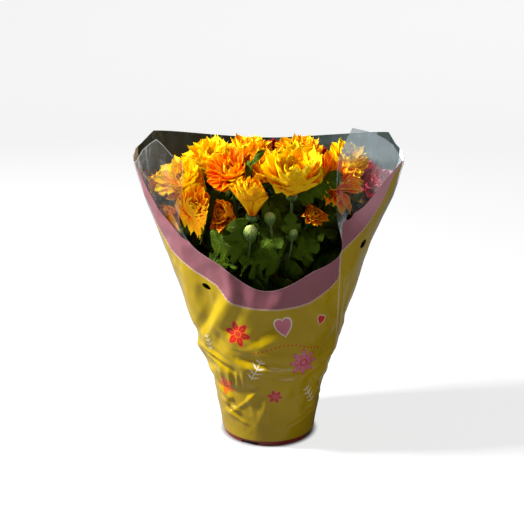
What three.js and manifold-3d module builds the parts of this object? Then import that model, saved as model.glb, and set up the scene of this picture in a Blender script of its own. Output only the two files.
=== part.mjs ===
// Pot chrysanthemum in its sales sleeve: a plastic pot with its soil, seven branched shoots with
// leaves, twenty double blooms, three buds, and a film sleeve that is cut away in front.
// Millimetres, +Z up, origin at the centre of the pot's foot, front towards -Y.
import * as THREE from "three";
import { ConvexGeometry } from "three/addons/geometries/ConvexGeometry.js";
import { mergeVertices } from "three/addons/utils/BufferGeometryUtils.js";
import Module from "manifold-3d";

const wasm = await Module();
wasm.setup();
const { Manifold, Mesh: SolidMesh } = wasm;

// ---- Driving dimensions ----
const SEAT_GAP = 0.3; // between pieces that rest on each other
const SHORTEST_EDGE = 0.45; // what joining leaves shorter than this is pulled together
const STEADY = 0.8; // and no face beside it turns further than this cosine
const POT = {
  footRadius: 44.8,
  shoulderRadius: 56.8,
  shoulderHeight: 80,
  rimRadius: 60.6,
  height: 95,
  wall: 1.6,
  footLift: 3, // the floor stands this far above the ground
  footRingWidth: 4.2,
  padRadius: 14, // the middle of the floor reaches the ground
  slope: 2, // the pad's edge runs out this far on its way up to the floor
  notches: 4,
  notchWidth: 18,
  notchDepth: 16,
  notchTurn: 24, // the first notch's angle from the front, in degrees towards -X
  drainRadius: 4.5,
  drainCircle: 28,
  facets: 28,
};
const SOIL = { top: 84, lump: 1.4, edge: 6, slack: 0.35, facets: 24 }; // its edge slopes down to the wall
const SLEEVE = {
  wall: 0.8,
  coneFrom: 110, // below this height the rows of facets follow the stations, above it the top edge
  columns: 44,
  upperRows: 4, // rows of facets above the pot
  ripple: 0.9, // the film's waves only lean outwards
  ripples: 9,
  rippleTurn: 45, // height over which the waves wander by a radian
  seamPinch: 0.32, // how pointed the section is where the two sheets are welded
  roundBelow: 60, // it is round up to here
  pointedAbove: 180, // and fully pointed from here
};
// Height, half width along X and half depth along Y of the sleeve's outside.
const SLEEVE_STATIONS = [
  [4, 46.7, 46.7],
  [58, 54.9, 54.9],
  [76, 62, 61],
  [93, 69, 65],
  [110, 72.5, 66.5],
  [240, 119, 75],
  [272, 128, 77.5],
  [316, 131, 79],
];
// Top edge: angle from the front in degrees, positive towards +X, and height.
const SLEEVE_TOP = [
  [-180, 286],
  [-113, 299],
  [-91, 279],
  [-60, 301],
  [50, 313],
  [91, 277],
  [109, 298],
  [180, 286],
];
// The cut-out of the front sheet, as [x, z] down its left side, along its foot and up its right side.
const WINDOW = [
  [-101, 303],
  [-77, 279],
  [-79, 250],
  [-82, 225],
  [-70, 203],
  [-44, 187],
  [-20, 169],
  [-3, 163],
  [13, 168],
  [32, 179],
  [61, 194],
  [54, 236],
  [57, 285],
  [71, 316],
];
const CUTTER = { near: 5, far: 120, top: 345 }; // how far in and out a cut through one sheet reaches
const VENT = { length: 9, width: 4.6 };
// Vent holes: x, z, turn of the long side in degrees, and which sheet.
const VENTS = [
  [-58, 164, -30, "front"],
  [-92, 226, -50, "front"],
  [73, 232, 50, "front"],
  [88, 201, 60, "front"],
  [60, 166, -30, "back"],
  [-76, 226, 50, "back"],
];
// Stems: heights of the root's end, of the first bend, of the next and of the fork, how far the fork
// leans out to its blooms, and radii from the foot up.
const STEM = {
  root: 46,
  rise: 96,
  bend: 128,
  forkHeight: 158,
  forkLean: 0.42,
  foot: 2.9,
  fork: 2.3,
  branch: 1.978,
  top: 1.4,
  budTop: 1.1,
  sides: 6,
  branchSides: 4,
};
// How a branch leaves the fork and meets its bloom.
const BRANCH = { up: 26, behind: 16, drop: 8, steps: 4 };
const CALYX = { radius: 5.4, depth: 6, budShare: 0.31, budDepth: 3.2, sides: 6 };
const CORE = { radius: 5, height: 8.5, sides: 6 };
const PETAL = { keel: 1.1, rootWidth: 2, rootRadius: 3.4, twist: 0.12 };
// Layers of petals from outside in: how many, length against the bloom's radius, width against its
// length, lean from the axis against the outer layer's, height of the root on the core, and where
// along the petal its sections lie, each with its share of the full width.
const LAYERS = [
  { count: 6, length: 1.0, width: 0.54, lean: 1.0, root: 1.8, sections: [[0.42, 0.86], [0.8, 1]] },
  { count: 5, length: 0.86, width: 0.5, lean: 0.64, root: 4.2, sections: [[0.66, 1]] },
  { count: 3, length: 0.62, width: 0.56, lean: 0.3, root: 6.4, sections: [[0.62, 1]] },
];
const SMALL_BLOOM = 45; // blooms under this size have fewer petals a layer
const SMALL_COUNTS = [5, 4, 2];
const MIDDLE = 0.2; // a bloom's middle lies this share of its size above its foot
// How petals and leaves keep clear: how near another bloom counts, where a petal starts to bend away
// from it, how near it comes, how far out in the sleeve anything reaches, and how much thicker a leaf
// is when it is tested.
const CLEAR = { near: 8, soft: 5, gap: 1.4, film: 0.945, leaf: 1.4 };
const LEAF = { rib: 1.2, stalk: 0.16, arch: 0.312, droop: 0.25, tries: 40, drift: 2.6 };
// Half of a leaf's lobed outline: share of the length, and half width against the length.
const LEAF_EDGE = [
  [0.14, 0.035],
  [0.24, 0.22],
  [0.35, 0.27],
  [0.42, 0.14],
  [0.55, 0.4],
  [0.66, 0.36],
  [0.7, 0.19],
  [0.86, 0.25],
];
const LEAF_RIB = [0.0, 0.3, 0.6, 0.84];

// Where the shoots stand in the soil: angle from the front in degrees and distance from the middle.
const SHOOTS = {
  left: { angle: -95, reach: 30 },
  front_left: { angle: -38, reach: 31 },
  back_left: { angle: -145, reach: 30 },
  front_right: { angle: 22, reach: 31 },
  right: { angle: 78, reach: 29 },
  crimson_right: { angle: 122, reach: 33 },
  crimson_back: { angle: 170, reach: 27 },
};
// Blooms: the foot of the flower, the way it faces, its diameter, the lean of its outer petals.
const BLOOMS = [
  { shoot: "left", at: [-76, -14, 247], face: [-0.3, -0.35, 1], size: 62, lean: 62 },
  { shoot: "left", at: [-66, -38, 231], face: [-0.2, -0.8, 0.55], size: 56, lean: 70 },
  { shoot: "left", at: [-101, 12, 237], face: [-0.35, 0.05, 0.9], size: 52, lean: 56 },
  { shoot: "left", at: [-90, -20, 217], face: [-0.45, -0.55, 0.7], size: 40, lean: 60 },
  { shoot: "front_left", at: [-34, -26, 256], face: [-0.1, -0.55, 0.85], size: 62, lean: 66 },
  { shoot: "front_left", at: [-15, -55, 232], face: [0.02, -0.2, 1], size: 66, lean: 36 },
  { shoot: "front_left", at: [-40, -38, 226], face: [-0.25, -0.75, 0.5], size: 46, lean: 62 },
  { shoot: "back_left", at: [-52, 4, 262], face: [-0.15, -0.15, 1], size: 62, lean: 56 },
  { shoot: "back_left", at: [-66, 34, 250], face: [-0.3, 0.4, 0.9], size: 60, lean: 64 },
  { shoot: "back_left", at: [-19, 15, 265], face: [-0.05, 0.15, 1], size: 60, lean: 60 },
  { shoot: "front_right", at: [-5, -25, 258], face: [0.0, -0.3, 1], size: 54, lean: 54 },
  { shoot: "front_right", at: [21, -47, 250], face: [0.02, -0.22, 1], size: 82, lean: 46 },
  { shoot: "front_right", at: [38, -36, 226], face: [0.3, -0.7, 0.6], size: 30, lean: 50 },
  { shoot: "right", at: [52, -31, 250], face: [0.35, -0.55, 0.8], size: 66, lean: 64 },
  { shoot: "right", at: [70, 0, 260], face: [0.3, -0.15, 1], size: 58, lean: 56 },
  { shoot: "right", at: [29, 3, 267], face: [0.1, 0.05, 1], size: 60, lean: 56 },
  { shoot: "crimson_right", crimson: true, at: [84, 33, 246], face: [0.3, 0.2, 1], size: 56, lean: 60 },
  { shoot: "crimson_right", crimson: true, at: [99, -3, 240], face: [0.35, -0.3, 0.9], size: 52, lean: 58 },
  { shoot: "crimson_back", crimson: true, at: [5, 42, 260], face: [0, 0.25, 1], size: 56, lean: 60 },
  { shoot: "crimson_back", crimson: true, at: [44, 43, 252], face: [0.15, 0.4, 0.9], size: 58, lean: 62 },
];
// Buds: their foot, the way they point and their diameter.
const BUDS = [
  { shoot: "front_right", at: [1, -62, 228], face: [-0.1, -0.35, 1], size: 10 },
  { shoot: "front_left", at: [-17, -64, 215], face: [0.05, -0.5, 1], size: 12 },
  { shoot: "front_right", at: [21, -62, 215], face: [0.1, -0.4, 1], size: 8 },
];
// Leaves seen in the cut-out: the shoot, which of its branches, the share of the branch at which it
// grows, its tip, its roll in degrees and how wide it is against the usual.
const FRONT_LEAVES = [
  { shoot: "front_left", stem: 1, share: 0.35, tip: [-56, -60, 210], roll: 35, wide: 1.2 },
  { shoot: "front_left", stem: 2, share: 0.3, tip: [-48, -52, 186], roll: 25, wide: 1.1 },
  { shoot: "front_right", stem: 0, share: 0.5, tip: [-6, -50, 244], roll: -60, wide: 0.9 },
  { shoot: "front_right", stem: 1, share: 0.28, tip: [26, -60, 232], roll: 50, wide: 1.2 },
  { shoot: "front_right", stem: 2, share: 0.35, tip: [54, -54, 206], roll: 30, wide: 1.2 },
  { shoot: "right", stem: 0, share: 0.6, tip: [62, -52, 246], roll: 30, wide: 1 },
  { shoot: "right", stem: 0, share: 0.45, tip: [92, -28, 238], roll: 20, wide: 1 },
  { shoot: "front_left", stem: 1, share: 0.12, tip: [-24, -60, 190], roll: 55, wide: 1.2 },
  { shoot: "front_right", stem: 1, share: 0.1, tip: [30, -60, 190], roll: 50, wide: 1.2 },
  { shoot: "left", stem: 1, share: 0.4, tip: [-84, -36, 206], roll: 20, wide: 1.1 },
  { shoot: "right", stem: 0, share: 0.25, tip: [64, -44, 192], roll: 30, wide: 1.1 },
  { shoot: "left", stem: 0, share: 0.5, tip: [-50, -40, 226], roll: 30, wide: 1.1 },
];
// The other leaves: how many a shoot, and the ranges that their draws come from.
const MORE_LEAVES = {
  perShoot: 5,
  seed: 20,
  share: [0.2, 0.75],
  swing: [-1.3, 1.3], // radians from straight out
  reach: [36, 54],
  rise: [0.05, 0.75],
  roll: [-25, 25],
  wide: [0.95, 1.2],
};

// ---- Small helpers ----
const V = (x, y, z) => new THREE.Vector3(x, y, z);
const degrees = THREE.MathUtils.degToRad;
const mix = THREE.MathUtils.lerp;

// A repeatable draw in 0..1 from two whole numbers.
function draw(a, b) {
  const s = Math.sin(a * 127.1 + b * 311.7 + 17.3) * 43758.5453;
  return s - Math.floor(s);
}

// The value at x of a table of [x, value, ...] rows; ease 1 rounds the corners between rows.
function along(table, x, column = 1, ease = 0) {
  if (x <= table[0][0]) return table[0][column];
  for (let i = 1; i < table.length; i++) {
    if (x > table[i][0]) continue;
    const t = (x - table[i - 1][0]) / (table[i][0] - table[i - 1][0]);
    const s = mix(t, t * t * (3 - 2 * t), ease);
    return mix(table[i - 1][column], table[i][column], s);
  }
  return table[table.length - 1][column];
}

// A closed geometry from points and triangles.
function geometryOf(points, faces) {
  const g = new THREE.BufferGeometry().setFromPoints(points);
  g.setIndex(faces.flat());
  return g;
}

// A three.js geometry as a solid that can be joined and cut.
function solid(geometry) {
  const g = geometry.clone();
  g.deleteAttribute("normal");
  g.deleteAttribute("uv");
  const merged = mergeVertices(g, 1e-4);
  return new Manifold(
    new SolidMesh({
      numProp: 3,
      vertProperties: new Float32Array(merged.attributes.position.array),
      triVerts: new Uint32Array(merged.index.array),
    }),
  );
}

// Joins leave slivers: this pulls together the ends of edges shorter than a size, one edge at a time.
// An edge goes only where its two ends share just the two corners beside it, so the skin stays closed,
// and where no face beside it turns over.
function withoutSlivers(points, faces, shortest) {
  const around = points.map(() => new Set());
  const facing = ([a, b, c]) => {
    const first = points[b].clone().sub(points[a]);
    return first.cross(points[c].clone().sub(points[a])).normalize();
  };
  faces.forEach((face, f) => face.forEach((v) => around[v].add(f)));
  const ring = (v) => new Set([...around[v]].flatMap((f) => faces[f]).filter((w) => w !== v));
  const span = ([a, b]) => points[a].distanceTo(points[b]);
  const edges = faces.flatMap(([a, b, c]) => [[a, b], [b, c], [c, a]]).filter(([a, b]) => a < b);
  const queue = edges.filter((edge) => span(edge) < shortest).sort((one, two) => span(one) - span(two));
  for (const [keep, gone] of queue) {
    if (!around[keep].size || !around[gone].size || !ring(keep).has(gone)) continue;
    const kept = ring(keep);
    if ([...ring(gone)].filter((w) => kept.has(w)).length !== 2) continue;
    const moved = (face) => face.map((w) => (w === gone ? keep : w));
    const staying = [...around[gone]].filter((f) => !faces[f].includes(keep));
    if (staying.some((f) => facing(faces[f]).dot(facing(moved(faces[f]))) < STEADY)) continue;
    for (const f of [...around[gone]].filter((g) => !staying.includes(g))) {
      faces[f].forEach((w) => around[w].delete(f));
      faces[f] = [];
    }
    for (const f of staying) {
      faces[f] = moved(faces[f]);
      around[keep].add(f);
    }
    around[gone].clear();
  }
  return faces.filter((face) => face.length);
}

// A solid as a named mesh; only its largest body is kept.
function meshOf(made, name, material) {
  const bodies = made.decompose();
  bodies.sort((a, b) => b.volume() - a.volume());
  const m = bodies[0].getMesh();
  const corner = (i) => V(...m.vertProperties.slice(3 * i, 3 * i + 3));
  const points = Array.from({ length: m.vertProperties.length / 3 }, (_, i) => corner(i));
  const face = (i) => [...m.triVerts.slice(3 * i, 3 * i + 3)];
  const faces = Array.from({ length: m.triVerts.length / 3 }, (_, i) => face(i));
  const flat = geometryOf(points, withoutSlivers(points, faces, SHORTEST_EDGE)).toNonIndexed();
  flat.computeVertexNormals();
  const mesh = new THREE.Mesh(flat, material);
  mesh.name = name;
  return mesh;
}

// Skins a row of closed rings of equal count, with a fan over each end.
function loft(rings) {
  const n = rings[0].length;
  const points = rings.flat();
  const faces = [];
  for (let r = 0; r + 1 < rings.length; r++)
    for (let i = 0; i < n; i++) {
      const [a, b] = [r * n + i, r * n + ((i + 1) % n)];
      faces.push([a, b, b + n], [a, b + n, a + n]);
    }
  const cap = (ring, first, flip) => {
    const centre = ring.reduce((s, p) => s.add(p), V(0, 0, 0)).divideScalar(n);
    points.push(centre);
    const c = points.length - 1;
    for (let i = 0; i < n; i++) {
      const [a, b] = [first + i, first + ((i + 1) % n)];
      faces.push(flip ? [c, b, a] : [c, a, b]);
    }
  };
  cap(rings[0], 0, true);
  cap(rings[rings.length - 1], (rings.length - 1) * n, false);
  return geometryOf(points, faces);
}

// Two directions square to a third.
function square(axis) {
  const side = Math.abs(axis.z) > 0.9 ? V(1, 0, 0) : V(0, 0, 1);
  const u = side.cross(axis).normalize();
  return [u, axis.clone().cross(u)];
}

// A ring of points round an axis.
function circle(centre, axis, radius, sides) {
  const [u, v] = square(axis);
  return Array.from({ length: sides }, (_, k) => {
    const t = (2 * Math.PI * k) / sides;
    return centre.clone().addScaledVector(u, radius * Math.cos(t)).addScaledVector(v, radius * Math.sin(t));
  });
}

// Round rings at steps of [height, radius] up an axis, skinned.
function turned(foot, axis, steps, sides) {
  return solid(loft(steps.map(([h, r]) => circle(foot.clone().addScaledVector(axis, h), axis, r, sides))));
}

// A tapered round tube along points.
function tube(points, radii, sides = STEM.sides) {
  const rings = points.map((p, i) => {
    const ahead = points[Math.min(i + 1, points.length - 1)];
    const behind = points[Math.max(i - 1, 0)];
    const axis = ahead.clone().sub(behind).normalize();
    // one fixed side direction keeps the rings from twisting against each other
    const u = V(1, 0.35, 0).cross(axis).normalize();
    const v = axis.clone().cross(u);
    return Array.from({ length: sides }, (_, k) => {
      const t = (2 * Math.PI * k) / sides;
      return p.clone().addScaledVector(u, radii[i] * Math.cos(t)).addScaledVector(v, radii[i] * Math.sin(t));
    });
  });
  return solid(loft(rings));
}

// ---- Pot and soil ----
const potRadius = (z) => mix(POT.footRadius, POT.shoulderRadius, z / POT.shoulderHeight);

function pot() {
  const floorTop = POT.footLift + POT.wall;
  const ringInside = POT.footRadius - POT.footRingWidth;
  const lip = POT.rimRadius - POT.wall;
  const profile = [
    [0, 0],
    [POT.padRadius, 0],
    [POT.padRadius + POT.slope, POT.footLift],
    [ringInside - 0.75 * POT.slope, POT.footLift],
    [ringInside, 0],
    [POT.footRadius, 0],
    [POT.shoulderRadius, POT.shoulderHeight],
    [POT.rimRadius - 0.8, POT.shoulderHeight + 0.8],
    [POT.rimRadius, POT.height],
    [lip, POT.height],
    [POT.shoulderRadius - POT.wall + 0.4, POT.shoulderHeight + 2.5],
    [potRadius(floorTop) - POT.wall, floorTop],
    [POT.padRadius + POT.slope, floorTop],
    [POT.padRadius - 0.5 * POT.slope, POT.wall],
    [0, POT.wall],
  ].map(([r, z]) => new THREE.Vector2(r, z));
  let body = solid(new THREE.LatheGeometry(profile, POT.facets).rotateX(Math.PI / 2));
  for (let i = 0; i < POT.notches; i++) {
    const turn = (i * 2 * Math.PI) / POT.notches - Math.PI / 2 - degrees(POT.notchTurn);
    const notch = new THREE.BoxGeometry(POT.notchDepth, POT.notchWidth, 2 * (POT.footLift - 0.2));
    notch.translate(POT.footRadius, 0, 0).rotateZ(turn);
    const drain = new THREE.CylinderGeometry(POT.drainRadius, POT.drainRadius, 12, 10);
    drain.rotateX(Math.PI / 2).translate(POT.drainCircle, 0, floorTop).rotateZ(turn);
    body = body.subtract(solid(notch)).subtract(solid(drain));
  }
  return body;
}

// The root ball: it fills the pot and its top is a little lumpy.
function soil(stems) {
  const bottom = POT.footLift + POT.wall + SEAT_GAP;
  const inner = (z) => potRadius(z) - POT.wall - SEAT_GAP - SOIL.slack;
  const top = SOIL.top;
  const shoulder = top - SOIL.edge;
  const ring = (r, z, lump) =>
    Array.from({ length: SOIL.facets }, (_, k) => {
      const t = (2 * Math.PI * k) / SOIL.facets;
      const rise = lump * SOIL.lump * (Math.sin(3 * t + r) + Math.sin(7 * t + 0.4 * r));
      return V(r * Math.cos(t), r * Math.sin(t), z + rise);
    });
  const rings = [
    ring(POT.padRadius + 3, bottom, 0),
    ring(inner(bottom), bottom, 0),
    ring(inner(shoulder), shoulder, 0),
    ring(inner(shoulder) - 1.5, top - SOIL.edge / 2, 0.3),
    ring(38, top, 0.7),
    ring(16, top + 1.5, 0.6),
  ];
  return stems.reduce((ball, hole) => ball.subtract(hole), solid(loft(rings)));
}

// ---- Sleeve ----
// From 0 where the section is round to 1 where it is pointed at its seams.
const pointed = (z) => THREE.MathUtils.smoothstep(z, SLEEVE.roundBelow, SLEEVE.pointedAbove);
const pinchAt = (z) => 1 + SLEEVE.seamPinch * pointed(z);

// A point of the sleeve at an angle from the front, a height and a distance in from its outside.
function sleevePoint(angle, z, inset = 0) {
  const s = Math.sin(degrees(angle));
  const c = Math.cos(degrees(angle));
  const turn = degrees(SLEEVE.ripples * angle) + z / SLEEVE.rippleTurn;
  const wave = SLEEVE.ripple * pointed(z) * (1 + Math.cos(turn));
  const halfWidth = along(SLEEVE_STATIONS, z, 1) - inset + 0.3 * wave;
  const halfDepth = along(SLEEVE_STATIONS, z, 2) - inset + wave;
  return V(halfWidth * s, -halfDepth * Math.sign(c) * Math.abs(c) ** pinchAt(z), z);
}

// How far out a point lies in the sleeve, from 0 on its axis to 1 on its film.
function sleeveShare(p) {
  const across = Math.abs(p.x) / along(SLEEVE_STATIONS, p.z, 1);
  const deep = Math.abs(p.y) / along(SLEEVE_STATIONS, p.z, 2);
  let [low, high] = [0, 2];
  for (let i = 0; i < 24; i++) {
    const share = (low + high) / 2;
    const out = (across / share) ** 2 + (deep / share) ** (2 / pinchAt(p.z));
    if (out > 1) low = share;
    else high = share;
  }
  return high;
}

function sleeve() {
  const lowRows = SLEEVE_STATIONS.filter(([z]) => z <= SLEEVE.coneFrom).map(([z]) => z);
  const join = lowRows[lowRows.length - 1];
  const rows = lowRows.length + SLEEVE.upperRows;
  const angles = Array.from({ length: SLEEVE.columns }, (_, k) => -180 + (360 * k) / SLEEVE.columns);
  const height = (angle, row) => {
    if (row < lowRows.length) return lowRows[row];
    return mix(join, along(SLEEVE_TOP, angle, 1, 1), (row - lowRows.length + 1) / SLEEVE.upperRows);
  };
  const side = (inset) =>
    Array.from({ length: rows }, (_, row) => angles.map((a) => sleevePoint(a, height(a, row), inset)));
  const loops = [...side(0), ...side(SLEEVE.wall).reverse()]; // up the outside and down the inside
  const n = SLEEVE.columns;
  const faces = [];
  loops.forEach((_, r) => {
    const next = (r + 1) % loops.length;
    for (let i = 0; i < n; i++) {
      const j = (i + 1) % n;
      const [a, b, c, d] = [r * n + i, r * n + j, next * n + j, next * n + i];
      // both faces of the film are split along the same diagonals
      if (r < rows) faces.push([a, b, c], [a, c, d]);
      else faces.push([a, b, d], [b, c, d]);
    }
  });
  let film = solid(geometryOf(loops.flat(), faces));
  film = film.subtract(windowCutter());
  return VENTS.reduce((f, vent) => f.subtract(ventCutter(...vent)), film);
}

// A prism through the front sheet, with the shape of the cut-out.
function windowCutter() {
  const outline = new THREE.SplineCurve(WINDOW.map(([x, z]) => new THREE.Vector2(x, z)));
  const shape = new THREE.Shape(outline.getPoints(28));
  shape.lineTo(90, CUTTER.top).lineTo(-120, CUTTER.top);
  return solid(frontPrism(shape));
}

// An outline drawn in X and Z, as a prism that passes through the front sheet only.
function frontPrism(shape) {
  const g = new THREE.ExtrudeGeometry(shape, { depth: CUTTER.far - CUTTER.near, bevelEnabled: false });
  return g.rotateX(Math.PI / 2).translate(0, -CUTTER.near, 0);
}

function ventCutter(x, z, turn, sheet) {
  const oval = new THREE.Shape().absellipse(0, 0, VENT.length / 2, VENT.width / 2, 0, 2 * Math.PI);
  const [middle, place] = [new THREE.Vector2(), new THREE.Vector2(x, z)];
  const outline = oval.getPoints(3).map((p) => p.rotateAround(middle, degrees(turn)).add(place));
  const g = frontPrism(new THREE.Shape(outline));
  if (sheet === "back") g.rotateZ(Math.PI);
  return solid(g);
}

// ---- What keeps petals and leaves clear of each other ----
const BLOOM_LIST = BLOOMS.map((b, i) => {
  const face = V(...b.face).normalize();
  const foot = V(...b.at);
  return { ...b, index: i, face, foot, middle: foot.clone().addScaledVector(face, MIDDLE * b.size) };
});

// The planes between a bloom and its neighbours: a point and the direction back into the bloom.
function fences(bloom) {
  return BLOOM_LIST.filter((other) => other !== bloom)
    .filter((other) => other.middle.distanceTo(bloom.middle) < 0.5 * (bloom.size + other.size) + CLEAR.near)
    .map((other) => ({
      at: bloom.middle.clone().lerp(other.middle, bloom.size / (bloom.size + other.size)),
      inward: bloom.middle.clone().sub(other.middle).normalize(),
    }));
}

// A distance squeezed so that it never falls below the gap.
function squeezed(distance) {
  if (distance > CLEAR.soft) return distance;
  const room = CLEAR.soft - CLEAR.gap;
  return CLEAR.gap + room * Math.exp((distance - CLEAR.soft) / room);
}

// A point bent back behind the planes and inside the sleeve.
function held(point, planes) {
  const p = point.clone();
  for (let pass = 0; pass < 3; pass++) {
    for (const { at, inward } of planes) {
      const distance = p.clone().sub(at).dot(inward);
      p.addScaledVector(inward, squeezed(distance) - distance);
    }
    const share = sleeveShare(p);
    if (share > CLEAR.film) p.set((p.x * CLEAR.film) / share, (p.y * CLEAR.film) / share, p.z);
  }
  return p;
}

// ---- Blooms and buds ----
// One petal as a chain of convex links, between sections with a keel below and out to a pointed tip.
function petal(spec, planes, turn, layer, seed) {
  const [u, v] = square(spec.face);
  const out = u.multiplyScalar(Math.cos(turn)).addScaledVector(v, Math.sin(turn));
  const side = spec.face.clone().cross(out);
  const length = 0.5 * spec.size * layer.length * mix(0.9, 1.08, draw(seed, 1));
  const lean = degrees(spec.lean * layer.lean * mix(0.9, 1.1, draw(seed, 2)));
  const twist = mix(-PETAL.twist, PETAL.twist, draw(seed, 3));
  const width = length * layer.width;
  const spot = (share) => {
    const angle = lean * mix(0.7, 1.06, share);
    const radius = PETAL.rootRadius + length * share * Math.sin(angle);
    const height = layer.root + length * share * Math.cos(angle);
    return spec.foot.clone().addScaledVector(spec.face, height).addScaledVector(out, radius);
  };
  const section = (share, wide) => {
    const across = side.clone().applyAxisAngle(out, twist * share);
    const left = held(spot(share).addScaledVector(across, -wide / 2), planes);
    const right = held(spot(share).addScaledVector(across, wide / 2), planes);
    const ahead = spot(share + 0.05).sub(spot(share - 0.05));
    const below = ahead.cross(right.clone().sub(left)).normalize();
    return [left, right, left.clone().lerp(right, 0.5).addScaledVector(below, PETAL.keel)];
  };
  const rows = [section(0, PETAL.rootWidth), ...layer.sections.map(([s, w]) => section(s, w * width))];
  rows.push([held(spot(1), planes)]);
  return rows.slice(1).map((row, i) => solid(new ConvexGeometry([...rows[i], ...row])));
}

// A closed geometry as a solid, turned right side out where its faces point in.
function outward(geometry) {
  const made = solid(geometry);
  if (made.volume() > 0) return made;
  const order = Array.from(geometry.index.array);
  for (let i = 0; i < order.length; i += 3) [order[i], order[i + 1]] = [order[i + 1], order[i]];
  geometry.setIndex(order);
  return solid(geometry);
}

function bloom(spec) {
  const planes = fences(spec);
  const steps = [
    [SEAT_GAP, CORE.radius - 0.6],
    [CORE.height * 0.4, CORE.radius],
    [CORE.height, CORE.radius * 0.5],
  ];
  const parts = [turned(spec.foot, spec.face, steps, CORE.sides)];
  LAYERS.forEach((layer, l) => {
    const count = spec.size < SMALL_BLOOM ? SMALL_COUNTS[l] : layer.count;
    for (let k = 0; k < count; k++) {
      const seed = spec.index * 40 + l * 12 + k;
      const turn = (2 * Math.PI * (k + 0.5 * l + 0.25 * draw(seed, 4))) / count;
      parts.push(...petal(spec, planes, turn, layer, seed));
    }
  });
  return Manifold.union(parts);
}

const BUD_LIST = BUDS.map((b) => ({ ...b, face: V(...b.face).normalize(), foot: V(...b.at) }));

function bud(spec) {
  const r = spec.size / 2;
  const steps = [
    [SEAT_GAP, 0.5 * r],
    [0.7 * r, r],
    [1.4 * r, 0.86 * r],
    [1.95 * r, 0.3 * r],
  ];
  return turned(spec.foot, spec.face, steps, 8);
}

// ---- Shoots ----
function shootFoot({ angle, reach }) {
  return V(reach * Math.sin(degrees(angle)), -reach * Math.cos(degrees(angle)), 0);
}

// The stem of a shoot up to its fork, and the curve of each branch to what it carries.
function branching(name) {
  const foot = shootFoot(SHOOTS[name]);
  const carried = [...BLOOM_LIST, ...BUD_LIST].filter((c) => c.shoot === name);
  const flowers = carried.filter((c) => c.index !== undefined);
  const crown = flowers.reduce((s, c) => s.add(c.foot), V(0, 0, 0)).divideScalar(flowers.length);
  const lean = (share, z) => V(mix(foot.x, crown.x, share), mix(foot.y, crown.y, share), z);
  const fork = lean(STEM.forkLean, STEM.forkHeight);
  const stem = [lean(0, STEM.root), lean(0, STEM.rise), lean(0.35 * STEM.forkLean, STEM.bend), fork];
  const branches = carried.map((c) => {
    const depth = c.index === undefined ? CALYX.budDepth : CALYX.depth;
    const under = c.foot.clone().addScaledVector(c.face, 1 - depth);
    const above = fork.clone().add(V(0, 0, BRANCH.up));
    const below = under.clone().addScaledVector(c.face, -BRANCH.behind).add(V(0, 0, -BRANCH.drop));
    return { curve: new THREE.CubicBezierCurve3(fork, above, below, under), carries: c };
  });
  return { foot, stem, branches };
}

function calyx({ foot, face, size }, small) {
  const r = small ? CALYX.budShare * size : CALYX.radius;
  const depth = small ? CALYX.budDepth : CALYX.depth;
  const steps = [
    [-depth, 0.36 * r],
    [-0.45 * depth, 0.86 * r],
    [0, r],
  ];
  return turned(foot, face, steps, CALYX.sides);
}

// The bare shoot: stem, branches and the green cups under its blooms and buds.
function bareShoot(plan) {
  const radii = [STEM.foot, STEM.foot, mix(STEM.foot, STEM.fork, 0.6), STEM.fork];
  const parts = [tube(plan.stem, radii)];
  for (const { curve, carries } of plan.branches) {
    const small = carries.index === undefined;
    const points = curve.getPoints(BRANCH.steps);
    const [start, end] = small ? [STEM.top, STEM.budTop] : [STEM.branch, STEM.top];
    parts.push(tube(points, points.map((_, i) => mix(start, end, i / BRANCH.steps)), STEM.branchSides));
    parts.push(calyx(carries, small));
  }
  return Manifold.union(parts);
}

// A lobed leaf from its foot to its tip; its edges are sharp and its rib is the thickest part.
function leaf(foot, tip, roll, wide, rib) {
  const length = foot.distanceTo(tip);
  const ahead = tip.clone().sub(foot).normalize();
  const side = V(0, 0, 1).cross(ahead).normalize().applyAxisAngle(ahead, degrees(roll));
  const up = ahead.clone().cross(side);
  const at = (share, half, lift) => {
    const arch = LEAF.arch * length * share * (1 - share) - LEAF.droop * Math.abs(half);
    const p = foot.clone().addScaledVector(ahead, share * length);
    return p.addScaledVector(side, half).addScaledVector(up, arch + lift);
  };
  const points = [];
  const add = (p) => points.push(p) - 1;
  const ribTop = LEAF_RIB.map((s) => add(at(s, 0, rib / 2)));
  const ribLow = LEAF_RIB.map((s) => add(at(s, 0, -rib / 2)));
  const end = add(at(1, 0, 0));
  const faces = [];
  for (const hand of [-1, 1]) {
    const start = add(at(0, hand * LEAF.stalk * 4, 0));
    const edge = [start, ...LEAF_EDGE.map(([s, w]) => add(at(s, hand * w * wide * length, 0))), end];
    const shares = [0, ...LEAF_EDGE.map(([s]) => s), 1];
    for (const [ribs, flip] of [
      [ribTop, hand > 0],
      [ribLow, hand < 0],
    ]) {
      const inner = [...ribs, end];
      const innerShares = [...LEAF_RIB, 1];
      let [i, j] = [0, 0];
      while (i < inner.length - 1 || j < edge.length - 1) {
        const ribDone = i === inner.length - 1;
        const moveEdge = ribDone || (j < edge.length - 1 && shares[j + 1] <= innerShares[i + 1]);
        const face = moveEdge ? [inner[i], edge[j], edge[j + 1]] : [inner[i], edge[j], inner[i + 1]];
        if (moveEdge) j++;
        else i++;
        if (new Set(face).size === 3) faces.push(flip ? [face[0], face[2], face[1]] : face);
      }
    }
    // the cut face at the foot of the stalk
    const [top, low] = [ribTop[0], ribLow[0]];
    faces.push(hand > 0 ? [top, start, low] : [top, low, start]);
  }
  return { solid: outward(geometryOf(points, faces)), points };
}

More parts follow.
